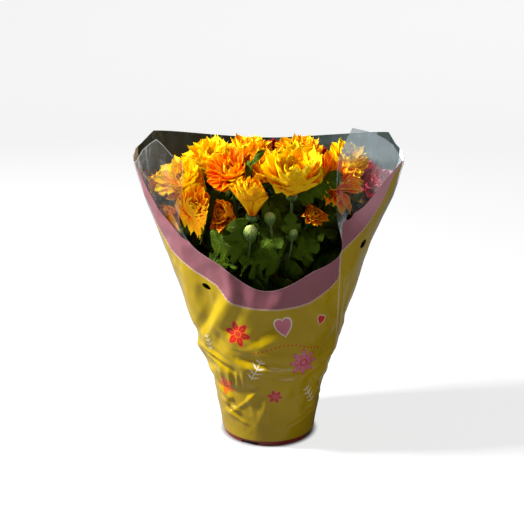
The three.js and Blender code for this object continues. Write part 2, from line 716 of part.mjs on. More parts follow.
// True where a thicker copy of a leaf stays inside the sleeve and off all that is there. Its own shoot
// is tested without the first part of the stalk, because that grows from it.
function fits([foot, tip, roll, wide], own, others) {
  const whole = leaf(foot, tip, roll, wide, LEAF.rib + CLEAR.leaf);
  if (whole.points.some((p) => sleeveShare(p) > CLEAR.film || p.z < SOIL.top + 10)) return false;
  const free = leaf(foot.clone().lerp(tip, LEAF.stalk), tip, roll, wide, LEAF.rib + CLEAR.leaf);
  if (others.some((other) => !touchless(whole.solid, other))) return false;
  return own.every((other) => touchless(free.solid, other));
}

function touchless(a, b) {
  const [p, q] = [a.boundingBox(), b.boundingBox()];
  if ([0, 1, 2].some((k) => p.max[k] < q.min[k] || q.max[k] < p.min[k])) return true;
  return a.intersect(b).isEmpty();
}

// Leaves in front by the list, and more up each shoot by seeded tries.
function addLeaves(shoots, blooms) {
  const all = Object.values(shoots);
  const solids = (list) => list.flatMap((shoot) => [shoot.bare, ...shoot.leaves]);
  const place = (shoot, ...shape) => {
    const others = [...blooms, ...solids(all.filter((other) => other !== shoot))];
    if (!fits(shape, solids([shoot]), others)) return false;
    shoot.leaves.push(leaf(...shape, LEAF.rib).solid);
    return true;
  };
  FRONT_LEAVES.forEach((spec, i) => {
    const shoot = shoots[spec.shoot];
    const foot = shoot.plan.branches[spec.stem].curve.getPoint(spec.share);
    for (let k = 0; k < LEAF.tries; k++) {
      const drift = V(draw(i, k) - 0.5, draw(i, k + 20) - 0.5, draw(i, k + 40) - 0.5);
      const tip = V(...spec.tip).addScaledVector(drift, LEAF.drift * k);
      if (place(shoot, foot, tip, spec.roll, spec.wide)) break;
    }
  });
  all.forEach((shoot, s) => {
    for (let n = 0; n < MORE_LEAVES.perShoot; n++) {
      for (let k = 0; k < LEAF.tries; k++) {
        const seed = MORE_LEAVES.seed * 1000 + s * 100 + n * 17 + k;
        const pick = (name, column) => mix(...MORE_LEAVES[name], draw(seed, column));
        const branch = shoot.plan.branches[n % shoot.plan.branches.length].curve;
        const foot = n < 1 ? shoot.plan.stem[2].clone() : branch.getPoint(pick("share", 5));
        const angle = Math.atan2(foot.y, foot.x) + pick("swing", 6);
        const reach = pick("reach", 7);
        const step = V(Math.cos(angle), Math.sin(angle), pick("rise", 8)).multiplyScalar(reach);
        if (place(shoot, foot, foot.clone().add(step), pick("roll", 9), pick("wide", 10))) break;
      }
    }
  });
}

// ---- The part ----
const plain = (colour, roughness = 0.6) => new THREE.MeshStandardMaterial({ color: colour, roughness });
const two = (n) => String(n).padStart(2, "0");

function build() {
  const part = new THREE.Group();
  const blooms = BLOOM_LIST.map(bloom);
  const buds = BUD_LIST.map(bud);
  const shoots = {};
  for (const name of Object.keys(SHOOTS)) {
    const plan = branching(name);
    shoots[name] = { plan, bare: bareShoot(plan), leaves: [] };
  }
  addLeaves(shoots, [...blooms, ...buds]);
  const holes = Object.values(shoots).map(({ plan }) => {
    const ends = [STEM.root - SEAT_GAP, SOIL.top + 12].map((z) => V(plan.foot.x, plan.foot.y, z));
    return tube(ends, [STEM.foot + SEAT_GAP + 0.1, STEM.foot + SEAT_GAP + 0.1]);
  });
  part.add(meshOf(pot(), "pot", plain("#5d241c", 0.45)));
  part.add(meshOf(soil(holes), "soil", plain("#2a1c14", 0.95)));
  part.add(meshOf(sleeve(), "sleeve", plain("#c8aa1e", 0.3)));
  for (const [name, shoot] of Object.entries(shoots)) {
    const whole = Manifold.union([shoot.bare, ...shoot.leaves]);
    part.add(meshOf(whole, `shoot_${name}`, plain("#2c4a16")));
  }
  blooms.forEach((b, i) => {
    const crimson = BLOOM_LIST[i].crimson;
    const name = `bloom_${crimson ? "crimson" : "orange"}_${two(i + 1)}`;
    part.add(meshOf(b, name, plain(crimson ? "#8e1626" : "#f09a10")));
  });
  buds.forEach((b, i) => part.add(meshOf(b, `bud_${two(i + 1)}`, plain("#b9c487"))));
  return part;
}

export default build();
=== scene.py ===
"""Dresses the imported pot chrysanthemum: petals, veined leaves, printed film sleeve, pot and soil.

Sizes and places are in millimetres, as in the part's own source, with +Z up, -Y to the front and the
origin at the middle of the pot's foot. MM turns them into metres where a mesh is made.
"""
import logging
from collections.abc import Callable, Iterator, Sequence
from contextlib import contextmanager
from dataclasses import dataclass, field
from enum import Enum
from math import cos, pi, radians, sin

import bmesh
import bpy
import numpy as np
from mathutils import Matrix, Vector, noise


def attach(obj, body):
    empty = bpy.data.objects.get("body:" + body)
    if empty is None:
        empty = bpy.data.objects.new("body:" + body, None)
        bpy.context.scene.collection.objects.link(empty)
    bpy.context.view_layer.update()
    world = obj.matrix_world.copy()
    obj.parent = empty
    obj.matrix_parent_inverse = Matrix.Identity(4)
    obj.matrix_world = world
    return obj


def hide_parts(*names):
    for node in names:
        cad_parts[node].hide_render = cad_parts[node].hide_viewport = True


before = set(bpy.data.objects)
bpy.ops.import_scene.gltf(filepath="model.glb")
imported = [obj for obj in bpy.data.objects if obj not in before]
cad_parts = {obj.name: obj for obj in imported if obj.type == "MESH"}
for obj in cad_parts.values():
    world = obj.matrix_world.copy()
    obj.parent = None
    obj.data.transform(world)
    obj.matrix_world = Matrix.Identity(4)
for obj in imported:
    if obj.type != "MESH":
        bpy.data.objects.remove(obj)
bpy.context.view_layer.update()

MM = 0.001
BODY = "root"
log = logging.getLogger("chrysanthemum")

Array = np.ndarray
Number = Array | float
Point = Colour = tuple[float, float, float]


# ---- Numbers and shapes that several pieces share ----
def mix(a: Number, b: Number, t: Number) -> Number:
    """Returns the value at share t between a and b."""
    return a + (b - a) * t


def smoothstep(x: Number, low: float, high: float) -> Number:
    """Returns 0 below low and 1 above high, with a soft rise between them."""
    t = np.clip((np.asarray(x, float) - low) / (high - low), 0.0, 1.0)
    return t * t * (3.0 - 2.0 * t)


def bell(x: Array, middle: float, width: float) -> Array:
    """Returns 1 at the middle, falling away over a width on both sides."""
    return np.exp(-(((x - middle) / width) ** 2))


def unit(v: Array) -> Array:
    """Returns vectors at length one."""
    return v / np.linalg.norm(v, axis=-1, keepdims=True)


def along(table: Sequence[Sequence[float]], x: Array, column: int = 1) -> Array:
    """Reads a column of a table whose rows start with a rising x, straight between rows."""
    rows = np.array([[row[0], row[column]] for row in table], float)
    return np.interp(x, rows[:, 0], rows[:, 1])


def eased(table: Sequence[Sequence[float]], x: Array) -> Array:
    """Reads a table of values with its corners rounded.

    Args:
        table: Rows of x and value, with a rising x.
        x: Where to read it.

    Returns:
        The values there.
    """
    rows = np.array(table, float)
    i = np.clip(np.searchsorted(rows[:, 0], x) - 1, 0, len(rows) - 2)
    return mix(rows[i, 1], rows[i + 1, 1], smoothstep((x - rows[i, 0]) / (rows[i + 1, 0] - rows[i, 0]), 0, 1))


def bezier(points: Sequence[Array], t: Array) -> Array:
    """Reads a cubic curve.

    Args:
        points: Its four control points.
        t: Shares of the way along it.

    Returns:
        The points there.
    """
    a, b, c, d = (np.asarray(p, float) for p in points)
    t = np.asarray(t, float)[:, None]
    return a * (1 - t) ** 3 + 3 * b * t * (1 - t) ** 2 + 3 * c * t * t * (1 - t) + d * t**3


def rings(rows: Sequence[tuple], rng: np.random.Generator, sway: float) -> Iterator[tuple]:
    """Goes round rings of blades.

    Args:
        rows: A tuple for each ring that starts with its count of blades.
        rng: The draws.
        sway: How far a blade may be turned from its place, in radians.

    Returns:
        For each blade, the number of its ring, that ring's tuple and the blade's turn.
    """
    for number, row in enumerate(rows):
        for k in range(row[0]):
            yield number, row, 2 * pi * (k + 0.5 * number) / row[0] + rng.uniform(-sway, sway)


# ---- Objects ----
def deselect() -> None:
    """Leaves object mode with nothing selected."""
    if bpy.context.object and bpy.context.object.mode != "OBJECT":
        bpy.ops.object.mode_set(mode="OBJECT")
    bpy.ops.object.select_all(action="DESELECT")


def activate(*pieces: bpy.types.Object) -> None:
    """Selects pieces alone, with the first one active."""
    deselect()
    for piece in pieces:
        piece.select_set(True)
    bpy.context.view_layer.objects.active = pieces[0]


@contextmanager
def editing(piece: bpy.types.Object) -> Iterator[None]:
    """Opens a piece for editing with all of it selected."""
    activate(piece)
    bpy.ops.object.mode_set(mode="EDIT")
    bpy.ops.mesh.select_all(action="SELECT")
    yield
    bpy.ops.object.mode_set(mode="OBJECT")


def added(operator: Callable, **settings: object) -> bpy.types.Object:
    """Adds an object, alone in the selection.

    Args:
        operator: What adds it.
        settings: The operator's own settings.

    Returns:
        The object.
    """
    deselect()
    operator(**settings)
    return bpy.context.object


def apply_modifier(piece: bpy.types.Object, kind: str, **settings: object) -> None:
    """Adds a modifier and applies it.

    Args:
        piece: What it changes.
        kind: Its type, such as SOLIDIFY.
        settings: Its own settings.
    """
    activate(piece)
    modifier = piece.modifiers.new(kind.title(), kind)
    for name, value in settings.items():
        setattr(modifier, name, value)
    bpy.ops.object.modifier_apply(modifier=modifier.name)


def cut_away(piece: bpy.types.Object, cutter: bpy.types.Object) -> None:
    """Cuts a cutter out of a piece and removes the cutter."""
    apply_modifier(piece, "BOOLEAN", operation="DIFFERENCE", solver="EXACT", object=cutter)
    bpy.data.objects.remove(cutter)


def join(name: str, pieces: Sequence[bpy.types.Object]) -> bpy.types.Object:
    """Joins pieces into one object.

    Args:
        name: The name of the object and its mesh.
        pieces: What is joined.

    Returns:
        The object.
    """
    activate(*pieces)
    if len(pieces) > 1:
        bpy.ops.object.join()
    piece = bpy.context.object
    piece.name = name
    piece.data.name = name
    return piece


def recalculate(piece: bpy.types.Object, merge: float = 0.0) -> None:
    """Merges doubles closer than a distance in metres, and turns the faces outwards."""
    with editing(piece):
        if merge:
            bpy.ops.mesh.remove_doubles(threshold=merge)
        bpy.ops.mesh.normals_make_consistent(inside=False)


def smooth(piece: bpy.types.Object, angle: float) -> None:
    """Shades a piece smooth where its faces meet at less than an angle in degrees."""
    activate(piece)
    bpy.ops.object.shade_smooth_by_angle(angle=radians(angle))


def dress(piece: bpy.types.Object, node: str) -> None:
    """Says which body a piece rides on and which node it replaces, and hides that node."""
    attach(piece, BODY)
    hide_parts(node)
    log.info("%s replaces %s", piece.name, node)


def points_of(mesh: bpy.types.Mesh) -> Array:
    """Returns a mesh's vertices in millimetres."""
    flat = np.empty(3 * len(mesh.vertices))
    mesh.vertices.foreach_get("co", flat)
    return flat.reshape(-1, 3) / MM


def set_points(mesh: bpy.types.Mesh, points: Array) -> None:
    """Moves a mesh's vertices to places in millimetres."""
    mesh.vertices.foreach_set("co", (np.asarray(points) * MM).ravel())
    mesh.update()


def store(mesh: bpy.types.Mesh, name: str, values: Array, domain: str = "POINT") -> None:
    """Keeps one number for each vertex, or for each face, as a named attribute."""
    layer = mesh.attributes.get(name) or mesh.attributes.new(name, "FLOAT", domain)
    layer.data.foreach_set("value", np.asarray(values, np.float32))


def store_uv(mesh: bpy.types.Mesh, across: Array, up: Array) -> None:
    """Keeps two numbers for each vertex as the mesh's UV map.

    Args:
        mesh: The mesh.
        across: The first numbers.
        up: The second numbers.
    """
    layer = mesh.uv_layers.get("UVMap") or mesh.uv_layers.new(name="UVMap")
    corners = np.empty(len(mesh.loops), np.int32)
    mesh.loops.foreach_get("vertex_index", corners)
    layer.data.foreach_set("uv", np.stack([across, up], axis=-1)[corners].astype(np.float32).ravel())


@dataclass
class Blank:
    """A thin closed blade with flat faces, modelled once and bent into each petal or leaf.

    Attributes:
        across: Each vertex's place from -1 at the left edge to 1 at the right.
        up: Each vertex's place from 0 at the foot to 1 at the tip.
        side: 1 on the upper skin and -1 on the lower one.
        faces: Vertex numbers of each face.
        lower: True for each face of the lower skin or the rim.
    """

    across: Array
    up: Array
    side: Array
    faces: Array
    lower: Array

    @classmethod
    def model(cls, columns: int, rows: int) -> "Blank":
        """Models a blade.

        Args:
            columns: How many faces it has across.
            rows: How many faces it has up.

        Returns:
            Its numbers.
        """
        piece = added(bpy.ops.mesh.primitive_grid_add, x_subdivisions=columns, y_subdivisions=rows, size=2.0)
        apply_modifier(piece, "SOLIDIFY", thickness=0.1, offset=0.0)
        mesh = piece.data
        points = points_of(mesh) * MM
        faces = np.array([list(p.vertices) for p in mesh.polygons])
        lower = np.array([p.normal.z < 0.5 for p in mesh.polygons])
        bpy.data.objects.remove(piece)
        return cls(points[:, 0], (points[:, 1] + 1) / 2, np.sign(points[:, 2]), faces, lower)


@dataclass
class Gathered:
    """Blades gathered into one mesh."""

    blank: Blank
    points: list[Array] = field(default_factory=list)
    shades: list[Array] = field(default_factory=list)

    def add(self, points: Array, shade: float) -> None:
        """Adds one bent blade and the number that varies its colour."""
        self.points.append(points)
        self.shades.append(np.full(len(points), shade))

    def object(self, name: str, materials: Sequence[bpy.types.Material]) -> bpy.types.Object:
        """Makes the object of all the blades.

        Args:
            name: Its name.
            materials: The finish of the upper skin, then that of the lower skin and rim.

        Returns:
            The object.
        """
        blank, count = self.blank, len(self.points)
        faces = np.concatenate([blank.faces + len(blank.up) * i for i in range(count)])
        mesh = bpy.data.meshes.new(name)
        mesh.from_pydata((np.concatenate(self.points) * MM).tolist(), [], faces.tolist())
        mesh.polygons.foreach_set("material_index", np.tile(blank.lower, count).astype(np.int32))
        store(mesh, "shade", np.concatenate(self.shades))
        store_uv(mesh, np.tile((blank.across + 1) / 2, count), np.tile(blank.up, count))
        piece = bpy.data.objects.new(name, mesh)
        bpy.context.scene.collection.objects.link(piece)
        for material in materials:
            mesh.materials.append(material)
        smooth(piece, 60.0)
        return piece


def turned(name: str, profile: Sequence[tuple[float, float]], segments: int) -> bpy.types.Object:
    """Turns a profile round the Z axis by extruding a circle along it.

    Args:
        name: The object's name.
        profile: Rows of (radius, height); an end at radius 0 closes the shape there.
        segments: How many sides it has.

    Returns:
        The object, with its faces outwards.
    """
    outline = [(max(r, 0.02), z) for r, z in profile]
    first, height = outline[0]
    piece = added(bpy.ops.mesh.primitive_circle_add, vertices=segments, radius=first * MM,
                  location=(0, 0, height * MM))
    bpy.ops.object.transform_apply(location=True)
    with editing(piece):
        for (r0, z0), (r1, z1) in zip(outline, outline[1:]):
            bpy.ops.mesh.extrude_region_move(TRANSFORM_OT_translate={"value": (0, 0, (z1 - z0) * MM)})
            bpy.ops.transform.resize(value=(r1 / r0, r1 / r0, 1), center_override=(0, 0, z1 * MM))
    piece.name = name
    recalculate(piece, merge=0.0001)
    return piece


# ---- Shader building ----
Socket = bpy.types.NodeSocket


@dataclass(frozen=True)
class Value:
    """A number in a shader tree. Arithmetic on it adds Math nodes."""

    tree: "Tree"
    socket: Socket

    def __abs__(self) -> "Value":
        """Returns its size without its sign."""
        return self.tree.math("ABSOLUTE", self)

    def __add__(self, other: "Value | float") -> "Value":
        """Returns the sum with another."""
        return self.tree.math("ADD", self, other)

    def __sub__(self, other: "Value | float") -> "Value":
        """Returns what is left when another is taken away."""
        return self.tree.math("SUBTRACT", self, other)

    def __rsub__(self, other: float) -> "Value":
        """Returns what is left of a plain number when this is taken away."""
        return self.tree.math("SUBTRACT", other, self)

    def __mul__(self, other: "Value | float") -> "Value":
        """Returns the product with another."""
        return self.tree.math("MULTIPLY", self, other)

    def __truediv__(self, other: "Value | float") -> "Value":
        """Returns the share of another."""
        return self.tree.math("DIVIDE", self, other)


Fed = Value | Socket | float | tuple


class Tree:
    """Adds nodes to a material's or a group's tree and feeds their sockets by name."""

    def __init__(self, tree: bpy.types.NodeTree) -> None:
        """Takes the tree that the nodes go into."""
        self.tree = tree

    def feed(self, socket: Socket, value: Fed) -> None:
        """Links a value to a socket, or sets it there."""
        value = value.socket if isinstance(value, Value) else value
        if isinstance(value, Socket):
            self.tree.links.new(value, socket)
        elif isinstance(value, tuple) and len(value) == 3 and socket.type == "RGBA":
            socket.default_value = (*value, 1.0)
        else:
            socket.default_value = value

    def node(self, kind: str, fed: dict[str, Fed] | None = None, **settings: object) -> bpy.types.Node:
        """Adds a node.

        Args:
            kind: Its type without the leading ShaderNode.
            fed: What its inputs get, by socket name or number.
            settings: Its own settings.

        Returns:
            The node.
        """
        node = self.tree.nodes.new("ShaderNode" + kind)
        for name, value in settings.items():
            setattr(node, name, value)
        for name, value in (fed or {}).items():
            self.feed(node.inputs[int(name)] if name.isdigit() else node.inputs[name], value)
        return node

    def value(self, kind: str, fed: dict[str, Fed], output: str | int = 0, **settings: object) -> Value:
        """Adds a node and returns one of its outputs as a number."""
        return Value(self, self.node(kind, fed, **settings).outputs[output])

    def math(self, operation: str, a: Fed, b: Fed = 0.0, c: Fed = 0.0) -> Value:
        """Adds a Math node and returns its result."""
        return self.value("Math", {"0": a, "1": b, "2": c}, operation=operation)

    def most(self, *values: Value) -> Value:
        """Returns the largest of some numbers."""
        top = values[0]
        for value in values[1:]:
            top = self.math("MAXIMUM", top, value)
        return top

    def band(self, value: Fed, low: float, high: float) -> Value:
        """Returns a mask that rises softly from 0 at low to 1 at high; a low above high falls."""
        fed = {"Value": value, "From Min": low, "From Max": high}
        return self.value("MapRange", fed, "Result", interpolation_type="SMOOTHSTEP")

    def blend(self, factor: Fed, a: Fed, b: Fed) -> Socket:
        """Mixes two colours and returns the result."""
        return self.node("Mix", {"0": factor, "6": a, "7": b}, data_type="RGBA").outputs[2]

    def noise(self, where: Socket, scale: Fed, detail: float = 3.0, rough: float = 0.5) -> Value:
        """Returns a noise value of a scale over a vector."""
        return self.value("TexNoise", {"Vector": where, "Scale": scale, "Detail": detail, "Roughness": rough},
                          "Fac")

    def vector(self, x: Fed, y: Fed, z: Fed = 0.0) -> Socket:
        """Puts three numbers together as a vector."""
        return self.node("CombineXYZ", {"X": x, "Y": y, "Z": z}).outputs[0]

    def ramp(self, value: Fed, stops: Sequence[tuple[float, Colour]]) -> Socket:
        """Colours a value.

        Args:
            value: The value.
            stops: Rows of place and colour.

        Returns:
            The colour.
        """
        node = self.node("ValToRGB", {"Fac": value})
        while len(node.color_ramp.elements) < len(stops):
            node.color_ramp.elements.new(0.5)
        for element, (place, colour) in zip(node.color_ramp.elements, stops):
            element.position = place
            element.color = (*colour, 1.0)
        return node.outputs["Color"]

    def attribute(self, name: str) -> Value:
        """Returns a number kept on the mesh."""
        return self.value("Attribute", {}, "Fac", attribute_name=name)

    def place(self) -> Socket:
        """Returns object coordinates."""
        return self.node("TexCoord").outputs["Object"]

    def split(self, vector: Socket) -> tuple[Value, Value]:
        """Returns a vector's first two numbers."""
        parts = self.node("SeparateXYZ", {"Vector": vector})
        return Value(self, parts.outputs["X"]), Value(self, parts.outputs["Y"])

    def uv(self) -> tuple[Value, Value]:
        """Returns the two numbers of the piece's UV map."""
        return self.split(self.node("TexCoord").outputs["UV"])

    def detail(self, colour: Colour, patch: Colour, patch_scale: float, amount: float,
               grain: float) -> tuple[Socket, Value]:
        """Varies a colour in patches and gives the surface a fine grain.

        Args:
            colour: The colour.
            patch: The colour of the patches.
            patch_scale: How closely the patches lie.
            amount: How much of the patches' colour shows.
            grain: How closely the grain lies.

        Returns:
            The varied colour, and the height of the grain.
        """
        node = self.node("Group", {"Vector": self.place(), "Colour": colour, "Patch Colour": patch,
                                   "Patch Scale": patch_scale, "Patch Amount": amount, "Grain Scale": grain},
                         node_tree=DETAIL)
        return node.outputs["Colour"], Value(self, node.outputs["Height"])


def new_group(name: str, inputs: dict[str, str], outputs: dict[str, str]) -> tuple[Tree, dict, dict]:
    """Starts a shader node group.

    Args:
        name: Its name.
        inputs: Its input sockets, name to kind, such as Float.
        outputs: Its output sockets, name to kind.

    Returns:
        Its tree, its inputs to read, and its outputs as sockets to feed.
    """
    group = bpy.data.node_groups.new(name, "ShaderNodeTree")
    for way, sockets in (("INPUT", inputs), ("OUTPUT", outputs)):
        for label, kind in sockets.items():
            group.interface.new_socket(label, in_out=way, socket_type="NodeSocket" + kind)
    tree = Tree(group)
    start, end = group.nodes.new("NodeGroupInput"), group.nodes.new("NodeGroupOutput")
    reads = {label: Value(tree, start.outputs[label]) for label in inputs}
    return tree, reads, {label: end.inputs[label] for label in outputs}


def detail_group() -> bpy.types.NodeTree:
    """Builds the group that varies a colour in patches and gives fine grain to a surface."""
    tree, reads, feeds = new_group(
        "surface_detail",
        {"Vector": "Vector", "Colour": "Color", "Patch Colour": "Color", "Patch Scale": "Float",
         "Patch Amount": "Float", "Grain Scale": "Float"},
        {"Colour": "Color", "Height": "Float"},
    )
    patch = tree.noise(reads["Vector"], reads["Patch Scale"], 4.0, 0.55)
    share = tree.band(patch, 0.35, 0.7) * reads["Patch Amount"]
    tree.feed(feeds["Colour"], tree.blend(share, reads["Colour"], reads["Patch Colour"]))
    tree.feed(feeds["Height"], tree.noise(reads["Vector"], reads["Grain Scale"], 3.0, 0.6))
    return tree.tree


DETAIL = detail_group()


class Surface(Tree):
    """The tree of a new material, with its Principled shader."""

    def __init__(self, name: str) -> None:
        """Starts a material of a name."""
        self.material = bpy.data.materials.new(name)
        self.material.use_nodes = True
        super().__init__(self.material.node_tree)
        self.shader = self.tree.nodes["Principled BSDF"]

    def finish(self, colour: Fed, height: Fed | None, relief: float, **values: Fed) -> bpy.types.Material:
        """Feeds the shader.

        Args:
            colour: The base colour.
            height: What the bump follows, from 0 to about 1, or None for no bump.
            relief: The depth of the bump in metres.
            values: What other sockets get, by name with _ for spaces.

        Returns:
            The material.
        """
        values["Base_Color"] = colour
        if height is not None:
            bump = self.node("Bump", {"Height": height, "Distance": relief, "Strength": 1.0})
            values["Normal"] = bump.outputs["Normal"]
        for name, value in values.items():
            self.feed(self.shader.inputs[name.replace("_", " ")], value)
        return self.material


# ---- Finishes ----
@dataclass(frozen=True)
class BladeFinish:
    """A finish for blades, which have an upper skin and a reverse."""

    name: str

    def start(self, reverse: bool) -> tuple[Surface, Value, Value, Value, Value]:
        """Starts the material of one skin.

        Args:
            reverse: Whether it is the reverse.

        Returns:
            The material's tree, the places across and up the blade, the blade's shade, and how far a
            spot is from the middle line.
        """
        tree = Surface(self.name + ("_reverse" if reverse else ""))
        across, up = tree.uv()
        return tree, across, up, tree.attribute("shade"), abs(across - 0.5) * 2.0

    def pair(self) -> list[bpy.types.Material]:
        """Makes the materials of both skins."""
        return [self.material(False), self.material(True)]


@dataclass(frozen=True)
class PetalFinish(BladeFinish):
    """A petal's colours from its foot to its tip, its pale margin, its reverse and its veins."""

    foot: Colour
    middle: Colour
    tip: Colour
    margin: Colour
    reverse: Colour
    vein: Colour

    def material(self, reverse: bool) -> bpy.types.Material:
        """Makes the material of the upper skin, or of the reverse."""
        tree, across, up, shade, off = self.start(reverse)
        streaks = tree.noise(tree.vector(across * 9.0, up, shade), 2.2, 3.0, 0.6)
        level = up + tree.math("MULTIPLY_ADD", shade, 0.3, -0.15)
        level = level + tree.math("MULTIPLY_ADD", streaks, 0.5, -0.25)
        if reverse:
            colour = tree.ramp(level, [(0.0, self.vein), (0.3, self.reverse), (1.0, self.margin)])
        else:
            stops = [(0.16, self.foot), (0.48, self.middle), (0.82, self.tip), (1.0, self.margin)]
            rim = tree.band(off, 0.72, 1.0) * tree.band(up, 0.15, 0.6)
            colour = tree.blend(rim, tree.ramp(level, stops), self.margin)
        ridges = tree.noise(tree.vector(across * 34.0, up, shade), 1.0, 2.0, 0.5)
        colour = tree.blend(tree.band(ridges, 0.55, 0.75) * 0.22, colour, self.vein)
        # Painted light: a faint glow in the vein colour stands in for light through the petals.
        return tree.finish(colour, ridges, 0.00018, Roughness=0.65, Subsurface_Weight=0.3,
                           Subsurface_Scale=0.0022, Subsurface_Radius=(1.0, 0.45, 0.1),
                           Specular_IOR_Level=0.1, Emission_Color=self.vein, Emission_Strength=0.035)


@dataclass(frozen=True)
class LeafFinish(BladeFinish):
    """A leaf's green, a pale green as of a young leaf, and its paler veins at shares of its length."""

    green: Colour
    pale_green: Colour
    vein: Colour
    lobes: tuple[float, ...] = (0.31, 0.53, 0.82)

    def material(self, reverse: bool) -> bpy.types.Material:
        """Makes the material of the upper skin, or of the paler reverse."""
        tree, across, up, shade, off = self.start(reverse)
        veins = tree.band(off, 0.10, 0.02)
        for lobe in self.lobes:
            veins = tree.most(veins, tree.band(abs(up - lobe), 0.022, 0.004) * tree.band(off, 0.95, 0.5))
        cells = tree.value("TexVoronoi", {"Vector": tree.vector(across, up * 1.7, shade), "Scale": 17.0},
                           "Distance", feature="DISTANCE_TO_EDGE")
        patched, grain = tree.detail(self.green, self.pale_green, 60.0, 0.7, 900.0)
        colour = tree.blend(shade * 0.6, patched, self.pale_green)
        colour = tree.blend(veins * 0.35, colour, self.vein)
        height = tree.band(cells, 0.0, 0.35) * 0.5 - veins + grain * 0.25
        if reverse:
            colour = tree.blend(0.35, colour, self.vein)
            height = height * -1.0
        return tree.finish(colour, height, 0.0006, Roughness=0.5, Subsurface_Weight=0.05,
                           Subsurface_Scale=0.001, Specular_IOR_Level=0.11)


@dataclass(frozen=True)
class PlainFinish:
    """A finish of one colour with patches and grain, such as plastic, stem or peat."""

    name: str
    colour: Colour
    patch: Colour
    patch_scale: float
    patch_amount: float
    grain_scale: float
    relief: float
    roughness: float
    specular: float = 0.4

    def material(self) -> bpy.types.Material:
        """Makes the material."""
        tree = Surface(self.name)
        colour, grain = tree.detail(self.colour, self.patch, self.patch_scale, self.patch_amount,
                                    self.grain_scale)
        return tree.finish(colour, grain, self.relief, Roughness=self.roughness,
                           Specular_IOR_Level=self.specular)


class PetalColour(Enum):
    """The flower colours, each with its finish."""

    SUNNY = PetalFinish("petal_sunny", (0.92, 0.16, 0.0), (1.0, 0.42, 0.0), (1.0, 0.60, 0.0),
                        (1.0, 0.74, 0.004), (1.0, 0.50, 0.0), (0.90, 0.22, 0.0))
    AMBER = PetalFinish("petal_amber", (0.56, 0.022, 0.0), (0.94, 0.15, 0.0), (1.0, 0.36, 0.0),
                        (1.0, 0.62, 0.002), (1.0, 0.42, 0.0), (0.72, 0.09, 0.0))
    EMBER = PetalFinish("petal_ember", (0.42, 0.006, 0.001), (0.80, 0.055, 0.0), (1.0, 0.25, 0.0),
                        (1.0, 0.54, 0.002), (1.0, 0.36, 0.0), (0.52, 0.03, 0.0))
    RUSSET = PetalFinish("petal_russet", (0.22, 0.010, 0.001), (0.50, 0.07, 0.002), (0.80, 0.20, 0.002),
                         (0.95, 0.38, 0.004), (0.75, 0.22, 0.002), (0.30, 0.02, 0.0))
    CRIMSON = PetalFinish("petal_crimson", (0.34, 0.0, 0.018), (0.76, 0.018, 0.07), (0.95, 0.08, 0.18),
                          (0.90, 0.12, 0.24), (0.70, 0.08, 0.18), (0.36, 0.0, 0.03))
    WINE = PetalFinish("petal_wine", (0.07, 0.0, 0.002), (0.20, 0.002, 0.004), (0.30, 0.004, 0.008),
                       (0.38, 0.01, 0.014), (0.24, 0.006, 0.01), (0.10, 0.0, 0.002))


BUD_PETAL = PetalFinish("bud_petal", (0.09, 0.17, 0.02), (0.22, 0.32, 0.05), (0.44, 0.50, 0.13),
                        (0.58, 0.58, 0.24), (0.25, 0.32, 0.08), (0.14, 0.24, 0.03))
LEAF = LeafFinish("leaf", (0.028, 0.066, 0.0004), (0.074, 0.130, 0.0008), (0.11, 0.165, 0.004))
STEM = PlainFinish("stem", (0.055, 0.11, 0.018), (0.10, 0.10, 0.03), 45.0, 0.6, 1400.0, 0.0002, 0.5)
CUP = PlainFinish("green_cup", (0.06, 0.13, 0.02), (0.12, 0.2, 0.05), 160.0, 0.6, 1800.0, 0.0002, 0.5)
POT_PLASTIC = PlainFinish("pot_plastic", (0.20, 0.022, 0.012), (0.14, 0.016, 0.010), 30.0, 0.6,
                          2600.0, 0.00004, 0.38)
PEAT = PlainFinish("peat", (0.03, 0.016, 0.009), (0.075, 0.045, 0.025), 260.0, 0.8, 700.0, 0.0015, 0.95, 0.2)

PETAL_MATERIALS = {colour: colour.value.pair() for colour in PetalColour}
BUD_MATERIALS = BUD_PETAL.pair()
LEAF_MATERIALS = LEAF.pair()
STEM_MATERIAL = STEM.material()
CUP_MATERIAL = CUP.material()


